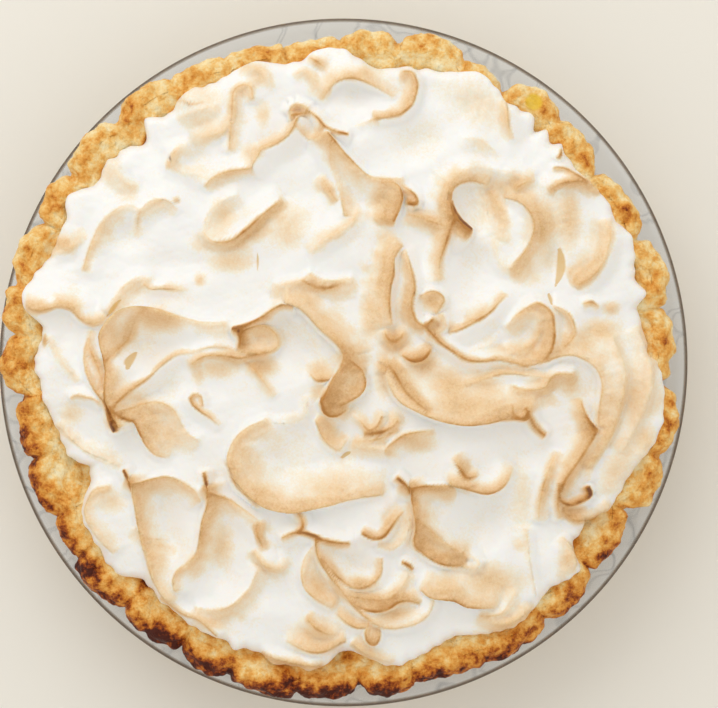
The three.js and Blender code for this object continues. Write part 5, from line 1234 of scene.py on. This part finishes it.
def swirl_fields(x, y, paths):
    """Rise, sideways lean and heat that all ridges give at each place, then the distance to
    the nearest crest and how dark that crest's line is, partly scorch and partly painted
    shadow under its overhang."""
    powers = np.zeros_like(x)
    lean = np.zeros((len(x), 2))
    heat_powers = np.zeros_like(x)
    crest_distance = np.full_like(x, LINE_REACH)
    crest_scorch_and_shadow = np.zeros_like(x)
    spot = np.stack([x, y], axis=-1)
    ragged = layered_waves(spot, *RAGGED_BORDERS, base=1)
    drift = STREAK_DRIFT * waves(spot, 16, 43)
    for (_, rise, flanks, heats, half_reach, tip, _), path in zip(RIDGES, paths):
        near = points_near(x, y, path, max(*flanks, 3 * half_reach[0], 3 * half_reach[1]) + 3)
        distance, side, share, left = nearest_on_crest(x[near], y[near], path)
        height = rise_along(rise, share)
        left_share = (1 + side) / 2
        reach = flanks[0] * left_share + flanks[1] * (1 - left_share)
        sharpness = (sum(flanks) - reach) / sum(flanks)
        away = (np.hypot(distance, CREST_ROUNDING) - CREST_ROUNDING) / (reach + FLANK_MARGIN)
        away = np.clip(away, 0, 1)
        streaks = np.sin(2 * np.pi * distance / STREAK_WIDTH + drift[near])
        lift = height * ((1 - sharpness) * bell(away) + sharpness * (1 - away) ** 2)
        lift += STREAK_DEPTH * (lift / max(rise)) * streaks
        power = np.maximum(lift, 0) ** RIDGE_BLEND
        powers[near] += power
        lean[near] += (power * lift * tilt_of(flanks) * LEAN)[:, None] * left
        halving = (half_reach[0] * left_share + half_reach[1] * (1 - left_share)) * ragged[near]
        fading = 2.0 ** -(distance / halving) ** FADING_STEEPNESS
        crest_heat = np.interp(share, [0, 0.5, 1], heats)
        heat_powers[near] += (crest_heat * fading * (1 + STREAK_TOAST * streaks)) ** HEAT_BLEND
        highest = np.clip(height / max(rise), 0, 1) ** TIP_SHORTNESS
        crispness = 1 if min(half_reach) <= THIN else SOFT_LINE_SHARE
        # A crest's line: partly scorching and partly painted shadow under its overhang, darkest at high
        # tips.
        line = LINE_DARKNESS * crispness * np.clip(crest_heat, 0, HOTTEST_LINE) + tip * highest
        closer = distance < crest_distance[near]
        crest_distance[near[closer]] = distance[closer]
        crest_scorch_and_shadow[near[closer]] = line[closer]
    total = np.maximum(powers, 0) ** (1 / RIDGE_BLEND)
    lean = lean / np.maximum(powers, 1e-6)[:, None] * smooth_step(0, 2, total)[:, None]
    return total, lean, heat_powers, crest_distance, crest_scorch_and_shadow


# %% [markdown]
# ## Meringue: its surface
# The topping is a square grid bent into a disc, so that it has no pole and its cells are
# alike everywhere. Its outer rings roll over into a soft lip that lies on the pastry. A
# height on a grid can't overhang, so crests also lean over their steep side.

# %% Bend a square grid into the topping
MERINGUE_RINGS = 150
LIP_START = 0.93
LIP_RADIUS = 4.0
LIP_TURN = math.radians(108)
MEAN_RADIUS = 105.0
MIDDLE_HEIGHT = 19.0
EDGE_HEIGHT = 12.5
EDGE_RAGGEDNESS = 0.35
SWELL = ((0.9, 34, 51), (0.30, 11, 52))
LIP_SINKS_IN = 0.9


def square_to_disc(rings):
    """Angle and share of the radius for every point of a square grid: each square of the
    grid becomes a circle, and a side of it becomes a quarter turn."""
    steps = np.arange(-rings, rings + 1)
    grids = np.meshgrid(steps, steps, indexing="ij")
    row, column = (grid.ravel().astype(float) for grid in grids)
    ring = np.maximum(np.abs(column), np.abs(row))
    wide = np.abs(column) > np.abs(row)
    safe = np.where(ring == 0, 1, ring)
    quarter = np.pi / 4
    angle_wide = quarter * row / np.where(wide, column, safe) + np.where(column < 0, np.pi, 0)
    safe_row = np.where(wide, safe, np.where(row == 0, 1, row))
    angle_tall = 2 * quarter - quarter * column / safe_row + np.where(row < 0, np.pi, 0)
    return np.where(wide, angle_wide, angle_tall), ring / rings


def border_indices(size):
    """Indices of the grid's outermost points, in order round it."""
    step = np.arange(size - 1)
    return np.concatenate([step, (step + 1) * size - 1,
                           size * size - 1 - step, (size - 1 - step) * size])


angle, share = square_to_disc(MERINGUE_RINGS)
degrees = np.degrees(angle)
around_edge = MEAN_RADIUS * np.stack([np.cos(angle), np.sin(angle)], axis=-1)
edge_radius = eased(MERINGUE_EDGE, degrees) + EDGE_RAGGEDNESS * waves(around_edge, 5, 44)
flat_share = np.clip(share / LIP_START, 0, 1)
lip_turn = np.clip((share - LIP_START) / (1 - LIP_START), 0, 1) * LIP_TURN
wide_radius = MEAN_RADIUS + (edge_radius - MEAN_RADIUS) * flat_share ** 4
radius = (wide_radius - LIP_RADIUS) * flat_share + LIP_RADIUS * np.sin(lip_turn)
x = PIE_CENTRE[0] + radius * np.cos(angle)
y = PIE_CENTRE[1] + radius * np.sin(angle)

crest_paths = [before_leaning(smooth_path(places), rise, tilt_of(flanks))
               for _, rise, flanks, _, _, _, places in RIDGES]
x, y = pulled_to_crests(x, y, crest_paths)
rise, lean, heat_powers, crest_distance, crest_scorch_and_shadow = swirl_fields(x, y, crest_paths)
hollow = sum(depth * ellipse_bell(x, y, *ellipse) for *ellipse, depth in HOLLOWS)
spot = np.stack([x, y], axis=-1)
swell = layered_waves(spot, *SWELL)
pastry_radius, pastry_fullness = crimped(degrees)
resting = pastry_height(pastry_radius - edge_radius, pastry_fullness)
dome = MIDDLE_HEIGHT + (EDGE_HEIGHT - MIDDLE_HEIGHT) * (radius / edge_radius) ** 2
top = RIM_HEIGHT + dome + rise - hollow + swell
lowered = (1 - np.cos(lip_turn)) / (1 - math.cos(LIP_TURN))
z = top + (RIM_HEIGHT + resting - LIP_SINKS_IN - top) * lowered
keep_lean = (1 - smooth_step(0.9, 0.97, share))[:, None]
meringue_points = np.stack([x, y, z], axis=-1)
meringue_points[:, :2] += lean * keep_lean
print(f"topping stands {z.max() - RIM_HEIGHT:.1f} mm above the rim")

# %% [markdown]
# ## Meringue: its skin and its underside
# Heat from the crests and from the evenly toasted slopes is joined, and 1 - e^-heat turns it
# into a share that levels off; the hollows add a little to it as painted warm shade. Toasted
# skin dries and wrinkles, so the finest relief is stronger there. A flat underside, hidden in
# the pastry, closes the surface.

# %% Store how it is toasted and where warm shade is painted, and close it beneath
# Fine relief: depth, size and seed of its waves, then its share on white skin and what full
# toasting adds to this share.
FINE_RELIEF = ((0.14, 6, 60), (0.14, 3.4, 61), (0.09, 1.7, 62))
RELIEF_ON_WHITE, RELIEF_BY_TOASTING = 0.35, 1.3
# How much warmer cream the hollows get per mm of depth, as painted shade.
HOLLOW_PAINTED_SHADE = 0.02
UNEVEN_HEAT = 0.03
UNDERSIDE_SHRINK = 0.97
UNDERSIDE_HEIGHT = FILL_HEIGHT + 0.5

for *ellipse, strength in TOASTED:
    heat_powers += (strength * ellipse_bell(x, y, *ellipse)) ** HEAT_BLEND
# Heat, plus painted warm shade in the hollows and a little random tone.
heat_and_hollow_shade = heat_powers ** (1 / HEAT_BLEND) + HOLLOW_PAINTED_SHADE * hollow + UNEVEN_HEAT * waves(spot, 22, 71)
toast_and_hollow_shade = 1 - np.exp(-np.clip(heat_and_hollow_shade, 0, 4))
amber = np.clip(sum(strength * drop_bell(x, y, *drop) for *drop, strength in AMBER), 0, 1)
for depth, size, seed in FINE_RELIEF:
    depth_here = depth * (RELIEF_ON_WHITE + RELIEF_BY_TOASTING * toast_and_hollow_shade)
    meringue_points[:, 2] += depth_here * waves(spot, size, seed)
print(f"share of the topping that is toasted by more than a third: {(toast_and_hollow_shade > 1 / 3).mean():.2f}")

side = 2 * MERINGUE_RINGS + 1
corner = (np.arange(side - 1)[:, None] * side + np.arange(side - 1)).ravel()
top_faces = np.stack([corner, corner + 1, corner + side + 1, corner + side], axis=-1)
border = border_indices(side)
count = side * side
around = len(border)
under = meringue_points[border]
under[:, :2] = PIE_CENTRE + (under[:, :2] - PIE_CENTRE) * UNDERSIDE_SHRINK
under[:, 2] = UNDERSIDE_HEIGHT
low = count + np.arange(around)
following = np.roll(np.arange(around), -1)
side_faces = np.stack([border, low, low[following], border[following]], axis=-1)
fan_faces = np.stack([low, np.full(around, count + around), low[following]], axis=-1)
all_points = np.vstack([meringue_points, under, [[*PIE_CENTRE, UNDERSIDE_HEIGHT]]])


def padded(values):
    """The hidden points beneath take the value 0."""
    return np.concatenate([values, np.zeros(around + 1)])


meringue = make_piece("swirled_meringue", all_points,
                      top_faces.tolist() + side_faces.tolist() + fan_faces.tolist(),
                      {"toast_and_shade": padded(toast_and_hollow_shade), "amber": padded(amber),
                       "crest_distance": padded(crest_distance), "crest_scorch_and_shadow": padded(crest_scorch_and_shadow)})

# %% [markdown]
# ## Baked meringue finish
# Where the oven's heat reached it, the foam turned from white through cream and tan to
# brown. The mesh says how much, with a little painted warm shade in the hollows, and noise
# breaks the borders up. Along each crest runs a brown line, partly scorching and partly
# painted shadow under its overhang, whose darkness falls as e^-(distance / width)^2, and it
# is wider where it is darker. The toasted skin gets fine pits, the drops of syrup are amber,
# and a little light passes through the foam, which softens its shadows.

# %% Meringue finish
FOAM_SHADES = [(0.0, "FBFCFC"), (0.05, "FCFBF8"), (0.15, "FAF1E2"), (0.31, "F8E3C6"),
               (0.46, "F4D5AA"), (0.62, "E9C18D"), (0.77, "D8A86E"), (0.92, "C9924F"),
               (1.0, "BF853F")]
SCORCH_AND_SHADOW_BROWN, SYRUP = "7A4522", "DDB45C"
LINE_WIDTH, LINE_WIDENING = 0.25, 0.7
LINE_RAMP_SHARE = 0.9
FOAM_DEPTH = 2.2

foam = Finish("baked_meringue")
mottling = foam.noise(7, detail=6, roughness=0.6)
mottling = foam.spread(mottling, (0.3, 0.7), (-0.05, 0.05))
speckle = foam.noise(0.9, detail=5, roughness=0.75)
speckle = foam.spread(speckle, (0.33, 0.67), (-0.06, 0.06))
# The brown line along each crest: partly scorching and partly painted shadow under its overhang.
crest_line_share = foam.attribute("crest_scorch_and_shadow")
line_width = foam.total(LINE_WIDTH, foam.product(crest_line_share, LINE_WIDENING))
away = foam.math("DIVIDE", foam.attribute("crest_distance"), line_width)
falloff = foam.math("POWER", math.e, foam.product(away, away, -1.0))
patchy = foam.spread(foam.noise(5), (0.35, 0.6), (0.45, 1.1))
scorch_and_shadow_line = foam.product(crest_line_share, falloff, patchy)
toasting_and_shade = foam.total(foam.attribute("toast_and_shade"), mottling, speckle, foam.product(scorch_and_shadow_line, LINE_RAMP_SHARE))

brown_share = foam.spread(scorch_and_shadow_line, (0.3, 0.95), (0, 0.95))
foam_colour = foam.mix(brown_share, foam.ramp(toasting_and_shade, FOAM_SHADES), SCORCH_AND_SHADOW_BROWN)
syrup_share = foam.spread(foam.attribute("amber"), (0.05, 0.45), (0, 0.75))
foam_colour = foam.mix(syrup_share, foam_colour, SYRUP)
foam.join(foam_colour, foam.shader.inputs["Base Color"])
foam.join(foam.spread(toasting_and_shade, (0.1, 0.7), (0.42, 0.62)), foam.shader.inputs["Roughness"])
foam.shader.inputs["Subsurface Weight"].default_value = 0.4
foam.shader.inputs["Subsurface Radius"].default_value = (1.0, 0.8, 0.6)
foam.shader.inputs["Subsurface Scale"].default_value = FOAM_DEPTH * MM

dry = foam.spread(foam.attribute("toast_and_shade"), (0.15, 0.6), (0.08, 1))
pits = foam.product(foam.spread(foam.cells(1.0), (0.0, 0.45), (0, 1)), dry)
skin = foam.bump(pits, distance_mm=0.22, strength=0.8)
wrinkles = foam.product(foam.noise(2.2, detail=6, roughness=0.65), dry)
skin = foam.bump(wrinkles, distance_mm=0.8, strength=0.8, below=skin)
skin = foam.bump(foam.noise(6, detail=4), distance_mm=0.35, strength=0.5, below=skin)
foam.join(skin, foam.shader.inputs["Normal"])
meringue.data.materials.append(foam.material)

# %% [markdown]
# ## Join the pieces to the frame
# Each piece rides on the only body and stands for the CAD node of the same thing.

# %% Ride and replace
for piece, node, slot in ((dish, "glass_dish", "glass"), (edge, "pastry_case", "pastry"),
                          (case, "pastry_case", "pastry"), (meringue, "meringue", "meringue")):
    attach(piece, "root")
    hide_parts(node)

# %% [markdown]
# ## Floor, light and camera
# A plain pale floor, one broad soft light from beyond the pie, a fill from the sky, and a
# camera straight above, as a cook takes a picture of a pie on the table.

# %% Floor
FLOOR_SIDE = 6.0
bpy.ops.mesh.primitive_plane_add(size=FLOOR_SIDE)
floor = bpy.context.object
floor.name = "floor"
paper = Finish("pale_floor")
paper.shader.inputs["Base Color"].default_value = colour("F3F0E9")
paper.shader.inputs["Roughness"].default_value = 0.8
floor.data.materials.append(paper.material)

# %% Light
SKY_STRENGTH = 0.80
LAMP_POWER = 4.9
LAMP_COLOUR = (0.95, 0.98, 1.0)

sky = bpy.data.worlds.new("studio")
sky.use_nodes = True
sky.node_tree.nodes["Background"].inputs["Color"].default_value = colour("FFFBF3")
sky.node_tree.nodes["Background"].inputs["Strength"].default_value = SKY_STRENGTH
bpy.context.scene.world = sky


def soft_light(name, place, aim, size, power):
    """A square area light at a place in metres, turned towards its aim."""
    data = bpy.data.lights.new(name, "AREA")
    data.shape = "SQUARE"
    data.size = size
    data.energy = power
    data.color = LAMP_COLOUR
    lamp = bpy.data.objects.new(name, data)
    bpy.context.scene.collection.objects.link(lamp)
    away = np.array(aim) - np.array(place)
    flat = math.hypot(away[0], away[1])
    lamp.location = place
    lamp.rotation_euler = (math.atan2(flat, -away[2]), 0, math.atan2(-away[0], away[1]))


soft_light("window", place=(-0.35, 0.9, 0.9), aim=(0, 0, 0.04), size=1.0, power=LAMP_POWER)
bpy.context.scene.view_settings.view_transform = "Standard"

# %% Camera straight above
# The camera's height is in metres, and its small shift sideways in millimetres.
SENSOR_WIDTH = 36.0
CAMERA_ABOVE_RIM = 0.9
CAMERA_X, CAMERA_Y = 5.345, 2.93
FOCAL_IN_PIXELS = 2609.8
FRAME_WIDTH_IN_PIXELS = 718
camera_data = bpy.data.cameras.new("camera")
camera_data.sensor_width = SENSOR_WIDTH
camera_data.lens = SENSOR_WIDTH * FOCAL_IN_PIXELS / FRAME_WIDTH_IN_PIXELS
camera = bpy.data.objects.new("camera", camera_data)
bpy.context.scene.collection.objects.link(camera)
camera.location = (CAMERA_X * MM, CAMERA_Y * MM, RIM_HEIGHT * MM + CAMERA_ABOVE_RIM)
camera.rotation_euler = (0, 0, 0)
bpy.context.scene.camera = camera
